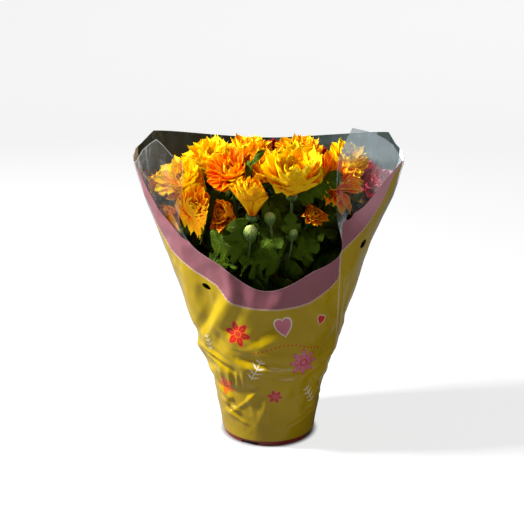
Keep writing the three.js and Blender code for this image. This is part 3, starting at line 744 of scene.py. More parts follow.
# ---- The inside of the sleeve ----
@dataclass
class SleeveForm:
    """The sleeve's outside as a formula: a round foot that opens into a wide, flat mouth.

    Attributes:
        stations: Rows of height, half width along X and half depth along Y.
        top: Rows of angle from the front, positive towards +X, and height of the film's top edge.
        foot: Height of the film's lower edge.
        ripple: Depth of the film's upright waves.
        ripples: How many waves there are round it.
        ripple_turn: Height over which the waves wander by a radian.
        pinch: How pointed the section is at the two seams.
        round_below: Height up to which it is round.
        pointed_above: Height from which it is fully pointed.
    """

    stations: tuple = ((4, 46.7, 46.7), (58, 54.9, 54.9), (76, 62, 61), (93, 69, 65), (110, 72.5, 66.5),
                       (240, 119, 75), (272, 128, 77.5), (316, 131, 79))
    top: tuple = ((-180, 286), (-113, 299), (-91, 279), (-60, 301), (50, 313), (91, 277), (109, 298),
                  (180, 286))
    foot: float = 5.4
    ripple: float = 0.9
    ripples: int = 9
    ripple_turn: float = 45.0
    pinch: float = 0.32
    round_below: float = 60.0
    pointed_above: float = 180.0

    def power(self, z: Array) -> Array:
        """Returns the power that shapes the section at a height, 1 where it is round."""
        return 1 + self.pinch * smoothstep(z, self.round_below, self.pointed_above)

    def point(self, angle: Array, z: Array, out: Number = 0.0) -> Array:
        """Works out points of the film.

        Args:
            angle: Their angles from the front in degrees, positive towards +X.
            z: Their heights.
            out: How far outside the film they lie.

        Returns:
            The points.
        """
        s, c = np.sin(np.radians(angle)), np.cos(np.radians(angle))
        high = smoothstep(z, self.round_below, self.pointed_above)
        wave = self.ripple * high * (1 + np.cos(np.radians(self.ripples * angle) + z / self.ripple_turn))
        half_width = along(self.stations, z, 1) + out + 0.3 * wave
        half_depth = along(self.stations, z, 2) + out + wave
        y = -half_depth * np.sign(c) * np.abs(c) ** self.power(z)
        return np.stack([half_width * s, y, z], axis=-1)

    def share(self, points: Array) -> Array:
        """Returns how far out points lie, from 0 on the sleeve's axis to 1 on its film."""
        across = np.abs(points[:, 0]) / along(self.stations, points[:, 2], 1)
        deep = np.abs(points[:, 1]) / along(self.stations, points[:, 2], 2)
        power = 2 / self.power(points[:, 2])
        low, high = np.zeros(len(points)), np.full(len(points), 2.0)
        for _ in range(22):
            share = (low + high) / 2
            outside = (across / share) ** 2 + (deep / share) ** power > 1
            low, high = np.where(outside, share, low), np.where(outside, high, share)
        return high


FORM = SleeveForm()
FILM_SHARE = 0.945  # nothing inside the sleeve reaches further out than this


def inside_film(points: Array) -> Array:
    """Pulls points back inside the film, and returns them."""
    share = FORM.share(points)
    back = np.where(share > FILM_SHARE, FILM_SHARE / share, 1.0)
    return points * np.stack([back, back, np.ones(len(back))], axis=-1)


# ---- Blooms and buds ----
@dataclass
class Carried:
    """A bloom or bud as it sits on its branch.

    Attributes:
        shoot: The shoot that carries it.
        foot: The place of its foot.
        face: The way it faces.
        size: Its diameter.
        lean: The lean of its outer petals from its axis in degrees; a bud has none.
        colour: Its petal colour.
        fullness: How many petals it has, against a usual bloom.
        breadth: How broad its petals are, against a usual bloom.
        curl: How much further its petals bend in, in degrees.
    """

    shoot: str
    foot: Point
    face: Point
    size: float
    lean: float = 0.0
    colour: PetalColour | None = None
    fullness: float = 1.0
    breadth: float = 1.0
    curl: float = 0.0

    def __post_init__(self) -> None:
        """Turns the tuples into arrays and brings the facing to length one."""
        self.foot = np.array(self.foot, float)
        self.face = unit(np.array(self.face, float))
        self.middle = self.foot + 0.2 * self.size * self.face

    @property
    def is_bud(self) -> bool:
        """Says whether it is a bud."""
        return self.lean == 0.0

    @property
    def leaf_room(self) -> float:
        """Returns how far from its middle a drawn leaf stays."""
        return 0.9 * self.size if self.is_bud else 0.34 * self.size + 5

    def axes(self) -> tuple[Array, Array]:
        """Returns two directions square to the way it faces."""
        start = np.array([1.0, 0, 0]) if abs(self.face[2]) > 0.9 else np.array([0, 0, 1.0])
        u = unit(np.cross(start, self.face))
        return u, np.cross(self.face, u)

    def wrapped(self, centre: Array, turn: Array, ring: Array, tall: Array) -> Array:
        """Places points round its axis.

        Args:
            centre: Where heights start on the axis.
            turn: Their turns round it.
            ring: Their distances from it.
            tall: Their heights along it.

        Returns:
            The points.
        """
        u, v = self.axes()
        radial = np.cos(turn)[:, None] * u + np.sin(turn)[:, None] * v
        return centre + ring[:, None] * radial + tall[:, None] * self.face


S, A, E, R, C, W = PetalColour  # sunny, amber, ember, russet, crimson and wine
BLOOMS = [Carried(*row) for row in (
    ("left", (-76, -14, 247), (-0.28, -0.6, 0.9), 62, 62, S, 1.2, 0.85),
    ("left", (-66, -38, 231), (-0.2, -0.8, 0.55), 56, 70, A, 1.35, 0.72),
    ("left", (-101, 12, 237), (-0.35, 0.05, 0.9), 52, 56, A),
    ("left", (-90, -20, 217), (-0.45, -0.55, 0.7), 40, 60, A),
    ("front_left", (-34, -26, 256), (-0.1, -0.55, 0.85), 62, 66, E, 1.35, 0.72),
    ("front_left", (-15, -55, 232), (0.02, -0.2, 1), 66, 33, A, 1.15, 0.75, 16),
    ("front_left", (-40, -38, 226), (-0.25, -0.75, 0.5), 46, 58, R, 1.1, 0.9, 8),
    ("back_left", (-52, 4, 262), (-0.15, -0.38, 1), 62, 56, S, 1.1, 0.9),
    ("back_left", (-66, 34, 250), (-0.3, 0.4, 0.9), 60, 64, S),
    ("back_left", (-19, 15, 265), (-0.05, -0.1, 1), 60, 60, A, 1.1, 0.9),
    ("front_right", (-5, -25, 258), (0, -0.5, 1), 54, 54, A, 1.1, 0.9),
    ("front_right", (21, -47, 250), (0.02, -0.52, 0.95), 82, 46, S, 0.95, 1.1, 10),
    ("front_right", (38, -36, 226), (0.3, -0.7, 0.6), 30, 46, R, 1.0, 1.0, 10),
    ("right", (52, -31, 250), (0.35, -0.55, 0.8), 66, 64, E, 1.2, 0.85),
    ("right", (70, 0, 260), (0.3, -0.38, 1), 58, 56, S, 1.1, 0.9),
    ("right", (29, 3, 267), (0.1, -0.15, 1), 60, 56, A),
    ("crimson_right", (84, 33, 246), (0.3, 0.2, 1), 56, 60, C),
    ("crimson_right", (99, -3, 240), (0.35, -0.3, 0.9), 52, 58, C),
    ("crimson_back", (5, 42, 260), (0, 0.25, 1), 56, 60, W),
    ("crimson_back", (44, 43, 252), (0.15, 0.4, 0.9), 58, 62, W),
)]
BUDS = [Carried(*row) for row in (
    ("front_right", (1, -62, 228), (-0.1, -0.35, 1), 10),
    ("front_left", (-17, -64, 215), (0.05, -0.5, 1), 12),
    ("front_right", (21, -62, 215), (0.1, -0.4, 1), 8),
)]


@dataclass
class PetalLayer:
    """One layer of petals.

    Attributes:
        count: How many petals it has.
        length: Their length against the bloom's radius.
        width: Their width against their length.
        lean: Their lean against the bloom's own.
        root: The height of their foot on the core.
        curl: How far their tips bend in (positive) or out, in degrees.
        cup: How deep their section is against their half width.
    """

    count: int
    length: float
    width: float
    lean: float
    root: float
    curl: float
    cup: float


LAYERS = tuple(PetalLayer(*row) for row in (  # from the outside in
    (13, 1.00, 0.40, 1.04, 1.8, -12, 0.34), (13, 0.98, 0.39, 0.88, 2.8, -6, 0.40),
    (12, 0.90, 0.37, 0.70, 3.8, 2, 0.48), (10, 0.78, 0.37, 0.52, 4.8, 12, 0.58),
    (8, 0.62, 0.36, 0.36, 5.6, 20, 0.72), (6, 0.44, 0.40, 0.20, 6.2, 26, 0.85)))


@dataclass
class Bloom:
    """A double bloom: layers of petals round a small core.

    Attributes:
        at: Where it sits and how it faces.
        number: Its place in the list, which seeds its draws.
        root_radius: How far from the axis the petals start.
        near, soft, gap: How near another bloom counts, where petals start to bend away from it, and
            how near they come.
        hanging: How much shorter a petal is that points straight down.
        small_below, small_share: The size below which it has fewer petals, and how many of them.
        reach: How long its outer petals are against its size.
        broadest: How far up it a petal is broadest.
        skin: Half the thickness of a petal.
    """

    at: Carried
    number: int
    root_radius: float = 3.4
    near: float = 8.0
    soft: float = 5.0
    gap: float = 1.4
    hanging: float = 0.3
    small_below: float = 45.0
    small_share: float = 0.75
    reach: float = 0.55
    broadest: float = 0.58
    skin: float = 0.16

    def fences(self) -> list[tuple[Array, Array]]:
        """Returns the planes between it and its neighbours, as points and directions back into it."""
        planes = []
        for other in BLOOMS:
            away = other.middle - self.at.middle
            reach = 0.5 * (self.at.size + other.size) + self.near
            if other is not self.at and np.linalg.norm(away) < reach:
                share = self.at.size / (self.at.size + other.size)
                planes.append((mix(self.at.middle, other.middle, share), unit(-away)))
        return planes

    def held(self, points: Array) -> Array:
        """Bends points back behind the fences and inside the film, and returns them."""
        room = self.soft - self.gap
        for _ in range(3):
            for at, inward in self.planes:
                far = (points - at) @ inward
                close = self.gap + room * np.exp((np.minimum(far, self.soft) - self.soft) / room)
                points = points + np.where(far > self.soft, 0.0, close - far)[:, None] * inward
            points = inside_film(points)
        return points

    def petal(self, blank: Blank, layer: PetalLayer, turn: float, rng: np.random.Generator) -> Array:
        """Bends a blank into one petal.

        Args:
            blank: The flat blade.
            layer: The petal's layer.
            turn: Its angle round the axis.
            rng: The draws that vary it.

        Returns:
            Its points.
        """
        u, v = self.at.axes()
        out = u * cos(turn) + v * sin(turn)
        length = self.reach * self.at.size * layer.length * rng.uniform(0.92, 1.08)
        length *= 1 - self.hanging * max(0.0, -out[2])
        lean = radians(self.at.lean * layer.lean * rng.uniform(0.86, 1.1))
        twist, curl = rng.uniform(-0.15, 0.15), radians(layer.curl + self.at.curl + rng.uniform(-10, 10))
        sway, tip = rng.uniform(-0.08, 0.08), rng.uniform(0.1, 0.3)
        teeth = rng.uniform(0.0, 0.03)
        up, wide, thirds = blank.up, np.abs(blank.across), np.cos(3 * pi * blank.across)
        share = up * (1 - (0.10 * wide**2 + teeth * thirds) * up**4)
        fall = ((up - self.broadest) / (1 - self.broadest)).clip(0, 1)
        swell = mix(0.22, 1.0, smoothstep(up, -0.15, self.broadest))
        swell = swell * mix(tip, 1.0, (1 - fall**2.8) ** 0.55)
        half = 0.5 * length * layer.width * self.at.breadth * swell
        angle = lean * mix(0.7, 1.06, share) - curl * share**2
        heading = angle + share * (0.36 * lean - 2 * curl * share)
        radius = self.root_radius + length * share * np.sin(angle)
        height = layer.root + length * share * np.cos(angle)
        middle = self.at.foot + height[:, None] * self.at.face + radius[:, None] * out
        across = np.cross(out, self.at.face)
        tangent = np.sin(heading)[:, None] * out + np.cos(heading)[:, None] * self.at.face
        normal = np.cross(across, tangent)
        turnover = (twist * share)[:, None]
        sideways = across * np.cos(turnover) + normal * np.sin(turnover)
        upward = normal * np.cos(turnover) - across * np.sin(turnover)
        bow = half * (layer.cup * wide**2 - 0.05 * thirds * np.sin(pi * up.clip(0, 1)))
        flutter = 0.022 * length * wide**2 * np.sin(6 * up + rng.uniform(0, 6)) * up * blank.across
        points = middle + (blank.across * half + sway * length * share**2)[:, None] * sideways
        return self.held(points + (bow + flutter + self.skin * blank.side)[:, None] * upward)

    def build(self, blank: Blank) -> None:
        """Builds the bloom and says what it replaces."""
        rng = np.random.default_rng(100 + self.number)
        self.planes = self.fences()
        gathered = Gathered(blank)
        small = self.small_share if self.at.size < self.small_below else 1.0
        for number, layer in enumerate(LAYERS):
            count = max(3, round(layer.count * self.at.fullness * small))
            for k in range(count):
                turn = 2 * pi * (k + 0.5 * number + rng.uniform(-0.16, 0.16)) / count
                gathered.add(self.petal(blank, layer, turn, rng), rng.uniform(0, 1))
        kind = "crimson" if self.at.colour in (C, W) else "orange"
        name = f"bloom_{kind}_{self.number:02d}"
        dress(gathered.object(f"petals_{name}", PETAL_MATERIALS[self.at.colour]), name)


@dataclass
class Bud:
    """A closed bud: pale petals wrapped round it, and green bracts over their feet.

    Attributes:
        at: Where it sits.
        number: Its place in the list.
        wraps: Rings of petals as (count, share of the way round the ball that they reach, swell).
        bracts: Rings of bracts as (count, share of the way that they reach).
    """

    at: Carried
    number: int
    wraps: tuple = ((11, 0.97, 1.02), (9, 0.99, 0.96), (7, 1.0, 0.88))
    bracts: tuple = ((13, 0.68), (11, 0.56), (9, 0.42))

    def build(self, blank: Blank) -> None:
        """Builds the bud and says what it replaces."""
        rng = np.random.default_rng(300 + self.number)
        r = self.at.size / 2
        centre = self.at.foot + (r * 0.98) * self.at.face
        petals, green = Gathered(blank), Gathered(blank)
        for _, (count, reach, swell), turn in rings(self.wraps, rng, 0.06):
            rise = pi * (0.12 + (reach - 0.12) * blank.up)
            wide = np.sin(pi * np.clip(blank.up, 0, 1) * 0.86 + 0.3) * 3.6 / count
            lift = swell + 0.05 * (1 - np.abs(blank.across)) + 0.04 * blank.side * 0.5
            around, ring, tall = turn + wide * blank.across, np.sin(rise) * r * lift, -np.cos(rise) * r * lift
            petals.add(self.at.wrapped(centre, around, ring, tall), rng.uniform(0, 1))
        for row, (count, reach), turn in rings(self.bracts, rng, 0.06):
            rise = pi * (0.1 + (reach * rng.uniform(0.92, 1.08) - 0.1) * blank.up)
            lift = 1.07 + 0.025 * row + 0.02 * blank.side
            around = turn + 2.9 / count * (1 - blank.up**3) * blank.across
            ring, tall = np.sin(rise) * r * lift, -np.cos(rise) * r * lift
            green.add(self.at.wrapped(centre, around, ring, tall), rng.uniform(0, 1))
        name = f"bud_{self.number:02d}"
        ball = petals.object("ball", BUD_MATERIALS)
        piece = join(f"petals_{name}", [ball, green.object("bracts", [CUP_MATERIAL, CUP_MATERIAL])])
        recalculate(piece)
        dress(piece, name)


# ---- Shoots ----
LEAF_EDGE = ((0.0, 0.022), (0.14, 0.035), (0.22, 0.21), (0.34, 0.28), (0.38, 0.1), (0.52, 0.4),
             (0.65, 0.4), (0.67, 0.14), (0.81, 0.27), (0.93, 0.17), (1.0, 0.0))
EDGE_SOFTENING = 0.14


@dataclass
class LeafPlace:
    """Where a leaf grows: its foot, its direction, its side, its length, its width and how pale its green is.

    The leaves that show in front are made pale as painted light.
    """

    foot: Array
    ahead: Array
    side: Array
    length: float
    wide: float
    pale_green: float = -1.0

    @property
    def up(self) -> Array:
        """Returns the direction that its upper skin faces."""
        return np.cross(self.ahead, self.side)


def leaf_edge(t: Array, rng: np.random.Generator) -> tuple[Array, Array]:
    """Works out a leaf's lobed edge.

    Args:
        t: Shares of the edge's way from foot to tip.
        rng: The draws, which place its teeth.

    Returns:
        The edge there, as shares of the leaf's length and of its width.
    """
    rows = np.array(LEAF_EDGE)
    steps = np.linspace(0, 1, len(rows))
    softened = EDGE_SOFTENING / (len(rows) - 1)
    total = np.zeros((len(t), 2))
    for shift in (-softened, 0.0, softened):
        where = np.clip(t + shift, 0, 1)
        total += np.stack([np.interp(where, steps, rows[:, k]) for k in (0, 1)], -1)
    total /= 3
    tooth = 0.012 * np.sin(t * 2 * pi * 13 + rng.uniform(0, 6)) * smoothstep(t, 0.1, 0.3)
    return total[:, 0], (total[:, 1] + tooth * (1 - smoothstep(t, 0.9, 1.0))).clip(0)


@dataclass
class Shoot:
    """A shoot: its stem, its branches, the cups under what it carries, and its leaves.

    Attributes:
        name: Its name.
        angle: Where it stands, in degrees from the front.
        reach: How far from the pot's middle it stands.
        chosen: Leaves that show in front, as (near its foot, tip, width against length).
        root, rise, bend, fork_height: Heights of the stem's end, its first bend, its next and its fork.
        fork_lean: How far the fork leans out to what it carries.
        radii, branch_radii, bud_radii: From the foot up, of the stem and the two kinds of branch.
        cup_depth, cup_radius: Of the cup under a bloom; the next two are a bud's, the radius as a share.
        arch, droop: How far a leaf bows up along it, and down to its edges, against its length.
        extra_leaves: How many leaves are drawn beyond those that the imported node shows.
        tries: How many draws are made for them at most.
        lengths: The shortest and the longest of them.
        tips_apart: How far apart the tips of leaves are at least.
        leaf_share: How far out a drawn leaf may reach, as a share of the way to the film.
        roll_out: How far leaves are rolled to face outwards.
        cup_rows: Rings of bracts as (count, rise against the cup's depth, width in radians).
    """

    name: str
    angle: float
    reach: float
    chosen: tuple[tuple[Point, Point, float], ...] = ()
    root: float = 46.0
    rise: float = 96.0
    bend: float = 128.0
    fork_height: float = 158.0
    fork_lean: float = 0.42
    radii: tuple = (2.9, 2.9, 2.54, 2.3)
    branch_radii: tuple = (1.978, 1.4)
    bud_radii: tuple = (1.4, 1.1)
    cup_depth: float = 6.0
    cup_radius: float = 5.4
    bud_cup_depth: float = 3.2
    bud_cup_share: float = 0.31
    arch: float = 0.312
    droop: float = 0.25
    extra_leaves: int = 22
    tries: int = 700
    lengths: tuple[float, float] = (32, 52)
    tips_apart: float = 12.0
    leaf_share: float = 0.87
    roll_out: float = 1.4
    cup_rows: tuple = ((12, 1.35, 0.34), (11, 1.12, 0.36), (9, 0.8, 0.42))

    def carried(self) -> list[Carried]:
        """Returns the blooms, then the buds, that it carries."""
        return [c for c in [*BLOOMS, *BUDS] if c.shoot == self.name]

    def plan(self) -> tuple[Array, list[tuple[Carried, list[Array]]]]:
        """Works out its stem, and each branch as a cubic curve.

        Returns:
            The stem's points, and a list of what is carried with its branch's four control points.
        """
        a = radians(self.angle)
        foot = np.array([self.reach * sin(a), -self.reach * cos(a)])
        crown = np.mean([c.foot[:2] for c in self.carried() if not c.is_bud], axis=0)

        def at(share: float, z: float) -> Array:
            """Returns the point at a share of the way from the foot to the crown, and at a height."""
            return np.array([*mix(foot, crown, share), z])

        fork = at(self.fork_lean, self.fork_height)
        stem = [at(0, self.root), at(0, self.rise), at(0.35 * self.fork_lean, self.bend), fork]
        branches = []
        for c in self.carried():
            depth = self.bud_cup_depth if c.is_bud else self.cup_depth
            under = c.foot + (1 - depth) * c.face
            below = under - 16 * c.face - np.array([0, 0, 8.0])
            branches.append((c, [fork, fork + np.array([0, 0, 26.0]), below, under]))
        return np.array(stem), branches

    def rod(self, points: Array, radii: Sequence[float]) -> bpy.types.Object:
        """Makes a tapered round stem.

        Args:
            points: Its middle line.
            radii: Its radii from the foot up, at even steps.

        Returns:
            The object.
        """
        piece = added(bpy.ops.curve.primitive_nurbs_path_add, location=(0, 0, 0))
        curve = piece.data
        curve.splines.clear()
        spline = curve.splines.new("NURBS")
        spline.points.add(len(points) - 1)
        thick = np.interp(np.linspace(0, 1, len(points)), np.linspace(0, 1, len(radii)), radii)
        for knot, place, radius in zip(spline.points, points, thick):
            knot.co = (*(place * MM), 1.0)
            knot.radius = radius
        spline.order_u, spline.use_endpoint_u, spline.resolution_u = 3, True, 4
        curve.dimensions, curve.bevel_depth, curve.bevel_resolution = "3D", MM, 2
        curve.use_fill_caps = True
        activate(piece)
        bpy.ops.object.convert(target="MESH")
        none = np.zeros(len(piece.data.vertices))
        store(piece.data, "shade", none)
        store_uv(piece.data, none, none)
        piece.data.materials.append(STEM_MATERIAL)
        smooth(piece, 60.0)
        return piece

    def cup(self, at: Carried, blank: Blank) -> bpy.types.Object:
        """Makes the green cup of small overlapping bracts under a bloom or bud.

        Args:
            at: The bloom or bud.
            blank: The flat blade of a bract.

        Returns:
            The object.
        """
        rng = np.random.default_rng(int(abs(at.foot[0]) * 7 + at.foot[2]))
        depth = self.bud_cup_depth if at.is_bud else self.cup_depth
        radius = self.bud_cup_share * at.size if at.is_bud else self.cup_radius
        gathered = Gathered(blank)
        for row, (_, rise, wide), turn in rings(self.cup_rows, rng, 0.08):
            tall = rise * depth * blank.up * rng.uniform(0.92, 1.08)
            bulge = np.sqrt(np.clip(tall / depth, 0, 1.5)) * (1.02 + 0.06 * row)
            ring = radius * (0.24 + 0.76 * np.minimum(bulge, 1.0 + 0.1 * (bulge - 1)))
            ring = ring + 0.22 * blank.side + 0.25 * row - 0.12 * np.abs(blank.across) * radius / 5
            around = turn + wide * mix(1.0, 0.12, blank.up**2.2) * blank.across
            gathered.add(at.wrapped(at.foot, around, ring, tall - depth), rng.uniform(0, 1))
        piece = gathered.object("cup", [CUP_MATERIAL, CUP_MATERIAL])
        recalculate(piece)
        return piece

    def found_leaves(self) -> list[LeafPlace]:
        """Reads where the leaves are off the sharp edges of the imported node.

        Returns:
            The place of each leaf whose whole outline is found.
        """
        mesh = bmesh.new()
        mesh.from_mesh(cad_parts[f"shoot_{self.name}"].data)
        bmesh.ops.remove_doubles(mesh, verts=mesh.verts, dist=0.00001)
        mesh.normal_update()
        sharp = [e for e in mesh.edges
                 if len(e.link_faces) == 2 and e.link_faces[0].normal.dot(e.link_faces[1].normal) < -0.35]
        beside: dict[int, list[int]] = {}
        for edge in sharp:
            a, b = (v.index for v in edge.verts)
            beside.setdefault(a, []).append(b)
            beside.setdefault(b, []).append(a)
        spot = {v.index: np.array(v.co) / MM for v in mesh.verts}
        mesh.free()
        places, seen = [], set()
        for start in [v for v, near in beside.items() if len(near) == 1]:
            chain = [start]
            while start not in seen:
                following = [w for w in beside[chain[-1]] if w not in chain]
                if not following:
                    break
                chain.append(following[0])
            seen.update(chain)
            place = self.read_leaf([spot[v] for v in chain])
            if place:
                places.append(place)
        return places

    def read_leaf(self, outline: list[Array]) -> LeafPlace | None:
        """Works out a leaf's place from its outline.

        Args:
            outline: Its points from one side of the foot round the tip to the other side.

        Returns:
            Its place, or None where the outline isn't a leaf's.
        """
        if len(outline) < 15:
            return None
        foot_end = (outline[0] + outline[-1]) / 2
        tip = int(np.argmax([np.linalg.norm(p - foot_end) for p in outline]))
        if tip < 7 or tip + 7 >= len(outline):
            return None
        spread = outline[tip + 4] - outline[tip - 4]
        low = (outline[tip + 7] + outline[tip - 7]) / 2
        wide_length = np.linalg.norm(spread) / 0.8
        side = unit(spread)
        reach = (outline[tip] - low) / 0.76
        for _ in range(4):
            length = np.linalg.norm(reach)
            up = np.cross(unit(reach), side)
            lift = self.arch * length * 0.1824 - self.droop * 0.22 * wide_length
            reach = (outline[tip] - (low - up * lift)) / 0.76
        length = float(np.linalg.norm(reach))
        ahead = reach / length
        if np.cross(ahead, side)[2] < 0:
            side = -side
        return LeafPlace(outline[tip] - reach, ahead, side, length, wide_length / length)

    def leaf(self, blank: Blank, place: LeafPlace, rng: np.random.Generator) -> Array:
        """Bends a blank into one lobed leaf.

        Args:
            blank: The flat blade.
            place: Where the leaf grows.
            rng: The draws that vary it.

        Returns:
            Its points.
        """
        rib = blank.up + 0.02 * np.sin(2 * pi * blank.up)
        s, w = leaf_edge(blank.up, rng)
        reach = np.abs(blank.across)
        share = mix(rib * 0.86 + 0.14 * blank.up**2, s, reach**0.8)
        half = blank.across * w * place.wide * place.length
        arch = self.arch * place.length * share * (1 - share) - self.droop * np.abs(half)
        phase = rng.uniform(0, 6, 3)
        wave = 0.035 * place.length * reach**2 * np.sin(9 * blank.up + phase[0] + 1.5 * blank.across)
        ripple = 0.012 * place.length * np.sin(17 * blank.up + phase[1]) * np.sin(5 * blank.across + phase[2])
        quilt = -0.018 * place.length * bell(reach, 0.0, 0.12) * (1 - blank.up)
        points = place.foot + (share * place.length)[:, None] * place.ahead + half[:, None] * place.side
        return inside_film(points + (arch + wave + ripple + quilt + 0.28 * blank.side)[:, None] * place.up)

    def chosen_leaves(self) -> list[LeafPlace]:
        """Returns the leaves that show in front, each on the branch that comes nearest to its foot."""
        rods = [curve for _, curve in self.plan()[1]]
        spots = np.concatenate([bezier(curve, np.linspace(0.1, 0.95, 14)) for curve in rods])
        places = []
        for near, tip, wide in self.chosen:
            foot = spots[np.argmin(np.linalg.norm(spots - np.array(near, float), axis=1))]
            reach = float(np.linalg.norm(np.array(tip) - foot))
            ahead = unit(np.array(tip) - foot)
            side = unit(np.cross(self.outlook(foot) + np.array([0.0, -0.5, 0.0]), ahead))
            # The leaves in front get nearly the full pale green as painted light.
            places.append(LeafPlace(foot, ahead, side, reach, wide, 0.95))
        return places

    def more_leaves(self, taken: list[LeafPlace], rng: np.random.Generator) -> list[LeafPlace]:
        """Draws more leaves up the stem and branches.

        Args:
            taken: The leaves that are there.
            rng: The draws.

        Returns:
            The new ones, which stay inside the film, clear of the blooms, and apart at their tips.
        """
        stem, branches = self.plan()
        places: list[LeafPlace] = []
        for _ in range(self.tries):
            if len(places) == self.extra_leaves:
                break
            curve = branches[rng.integers(len(branches))][1]
            if rng.uniform() < 0.2:
                foot = mix(stem[2], stem[3], rng.uniform(0, 1))
            else:
                foot = bezier(curve, [rng.uniform(0.12, 1.0) ** 0.7])[0]
            turn = np.arctan2(foot[1], foot[0]) + rng.uniform(-2.2, 2.2)
            reach = rng.uniform(*self.lengths)
            ahead = unit(np.array([cos(turn), sin(turn), rng.uniform(-0.1, 1.4)]))
            side = unit(np.cross(self.outlook(foot) + rng.uniform(-0.35, 0.35, 3), ahead))
            spine = foot + np.outer([0.3, 0.6, 0.8, 1.0], reach * ahead)
            tips = [p.foot + share * p.length * p.ahead for p in [*taken, *places] for share in (0.6, 1.0)]
            apart = min((np.linalg.norm(spine[3] - tip) for tip in tips), default=99.0)
            free = all(np.linalg.norm(spine - other.middle, axis=1).min() > other.leaf_room
                       for other in [*BLOOMS, *BUDS])
            if apart > self.tips_apart and free and FORM.share(spine[3:])[0] < self.leaf_share:
                places.append(LeafPlace(foot, ahead, side, reach, rng.uniform(0.9, 1.15)))
        return places

    def outlook(self, foot: Array) -> Array:
        """Returns the way that a leaf's upper skin faces, which is up and out of the sleeve."""
        return unit(0.7 * unit(foot * (1, 1, 0)) + np.array([0, -0.45, 0.6]))

    def turned_out(self, place: LeafPlace) -> LeafPlace:
        """Rolls a leaf round its midrib so that it faces further outwards."""
        face = unit(place.up + self.roll_out * self.outlook(place.foot))
        place.side = unit(np.cross(face, place.ahead))
        return place

    def build(self, petal_blank: Blank, leaf_blank: Blank) -> None:
        """Builds the shoot and says what it replaces."""
        rng = np.random.default_rng(sum(map(ord, self.name)))
        stem, branches = self.plan()
        pieces = [self.rod(stem, self.radii)]
        for at, curve in branches:
            radii = self.bud_radii if at.is_bud else self.branch_radii
            pieces += [self.rod(bezier(curve, np.linspace(0, 1, 9)), radii), self.cup(at, petal_blank)]
        found = [self.turned_out(place) for place in self.found_leaves()] + self.chosen_leaves()
        gathered = Gathered(leaf_blank)
        for place in found + self.more_leaves(found, rng):
            drawn = rng.uniform(0, 0.8)
            gathered.add(self.leaf(leaf_blank, place, rng), drawn if place.pale_green < 0 else place.pale_green)
        pieces.append(gathered.object("leaves", LEAF_MATERIALS))
        piece = join(f"foliage_{self.name}", pieces)
        log.info("%s: %d leaves found, %d in all", piece.name, len(found), len(gathered.points))
        dress(piece, f"shoot_{self.name}")


SHOOTS = [
    Shoot("left", -95, 30),
    Shoot("front_left", -38, 31, (((-6, -58, 192), (-58, -62, 212), 1.2),
                                  ((-14, -56, 197), (-31, -67, 232), 1.15),
                                  ((-12, -46, 276), (-5, -46, 291), 0.26),
                                  ((-5, -52, 166), (-22, -61, 185), 1.0))),
    Shoot("back_left", -145, 30),
    Shoot("front_right", 22, 31, (((34, -54, 236), (66, -60, 271), 0.62),
                                  ((15, -54, 210), (19, -66, 238), 0.7),
                                  ((28, -50, 189), (45, -58, 208), 0.95))),
    Shoot("right", 78, 29, (((52, -42, 229), (87, -44, 249), 0.42),)),
    Shoot("crimson_right", 122, 33),
    Shoot("crimson_back", 170, 27),
]


# ---- Pot and soil ----
@dataclass
class Pot:
    """A round moulded pot with a rim, a footed floor and drain holes.

    Attributes:
        profile: Its outline as (radius, height), from the middle of the floor outside to the inside.
        notches: How many notches its foot ring has.
        notch_turn: Where the first of them is, in degrees from the front towards +X.
        notch_reach: How far from the axis the notches are.
        notch: A notch's size along X, Y and up.
        drain_reach: How far from the axis the drain holes are.
        drain: The radius of a drain hole.
    """

    profile: tuple = ((0, 0), (13.6, 0), (14, 0.5), (16, 3), (39.1, 3), (40.3, 0.4), (40.9, 0), (44.3, 0),
                      (44.9, 0.5), (56.6, 78.6), (56.9, 79.9), (57.6, 80.5), (59.4, 80.8), (59.9, 81.4),
                      (60.6, 94.2), (60.3, 94.9), (59.6, 95.1), (59.0, 94.7), (58.8, 93.6), (55.9, 83),
                      (55.4, 81.5), (43.9, 4.9), (43.4, 4.6), (16.4, 4.6), (12.6, 1.6), (0, 1.6))
    notches: int = 4
    notch_turn: float = -24.0
    notch_reach: float = 44.8
    notch: tuple = (16.0, 18.0, 5.6)
    drain_reach: float = 28.0
    drain: float = 4.5

    def build(self) -> None:
        """Builds the pot and says what it replaces."""
        piece = turned("pot_body", self.profile, 128)
        cutters = []
        for i in range(self.notches):
            turn = radians(90 * i - 90 + self.notch_turn)
            out = np.array([cos(turn), sin(turn), 0.0])
            cutters.append(added(bpy.ops.mesh.primitive_cube_add, size=MM, rotation=(0, 0, turn),
                                 location=tuple(self.notch_reach * out * MM), scale=self.notch))
            cutters.append(added(bpy.ops.mesh.primitive_cylinder_add, vertices=32, depth=0.02,
                                 location=tuple(self.drain_reach * out * MM + (0, 0, 0.003)),
                                 radius=self.drain * MM))
        cut_away(piece, join("pot_cutter", cutters))
        apply_modifier(piece, "BEVEL", width=0.0003, segments=2, limit_method="ANGLE",
                       angle_limit=radians(50))
        smooth(piece, 35.0)
        piece.data.materials.append(POT_PLASTIC.material())
        dress(piece, "pot")


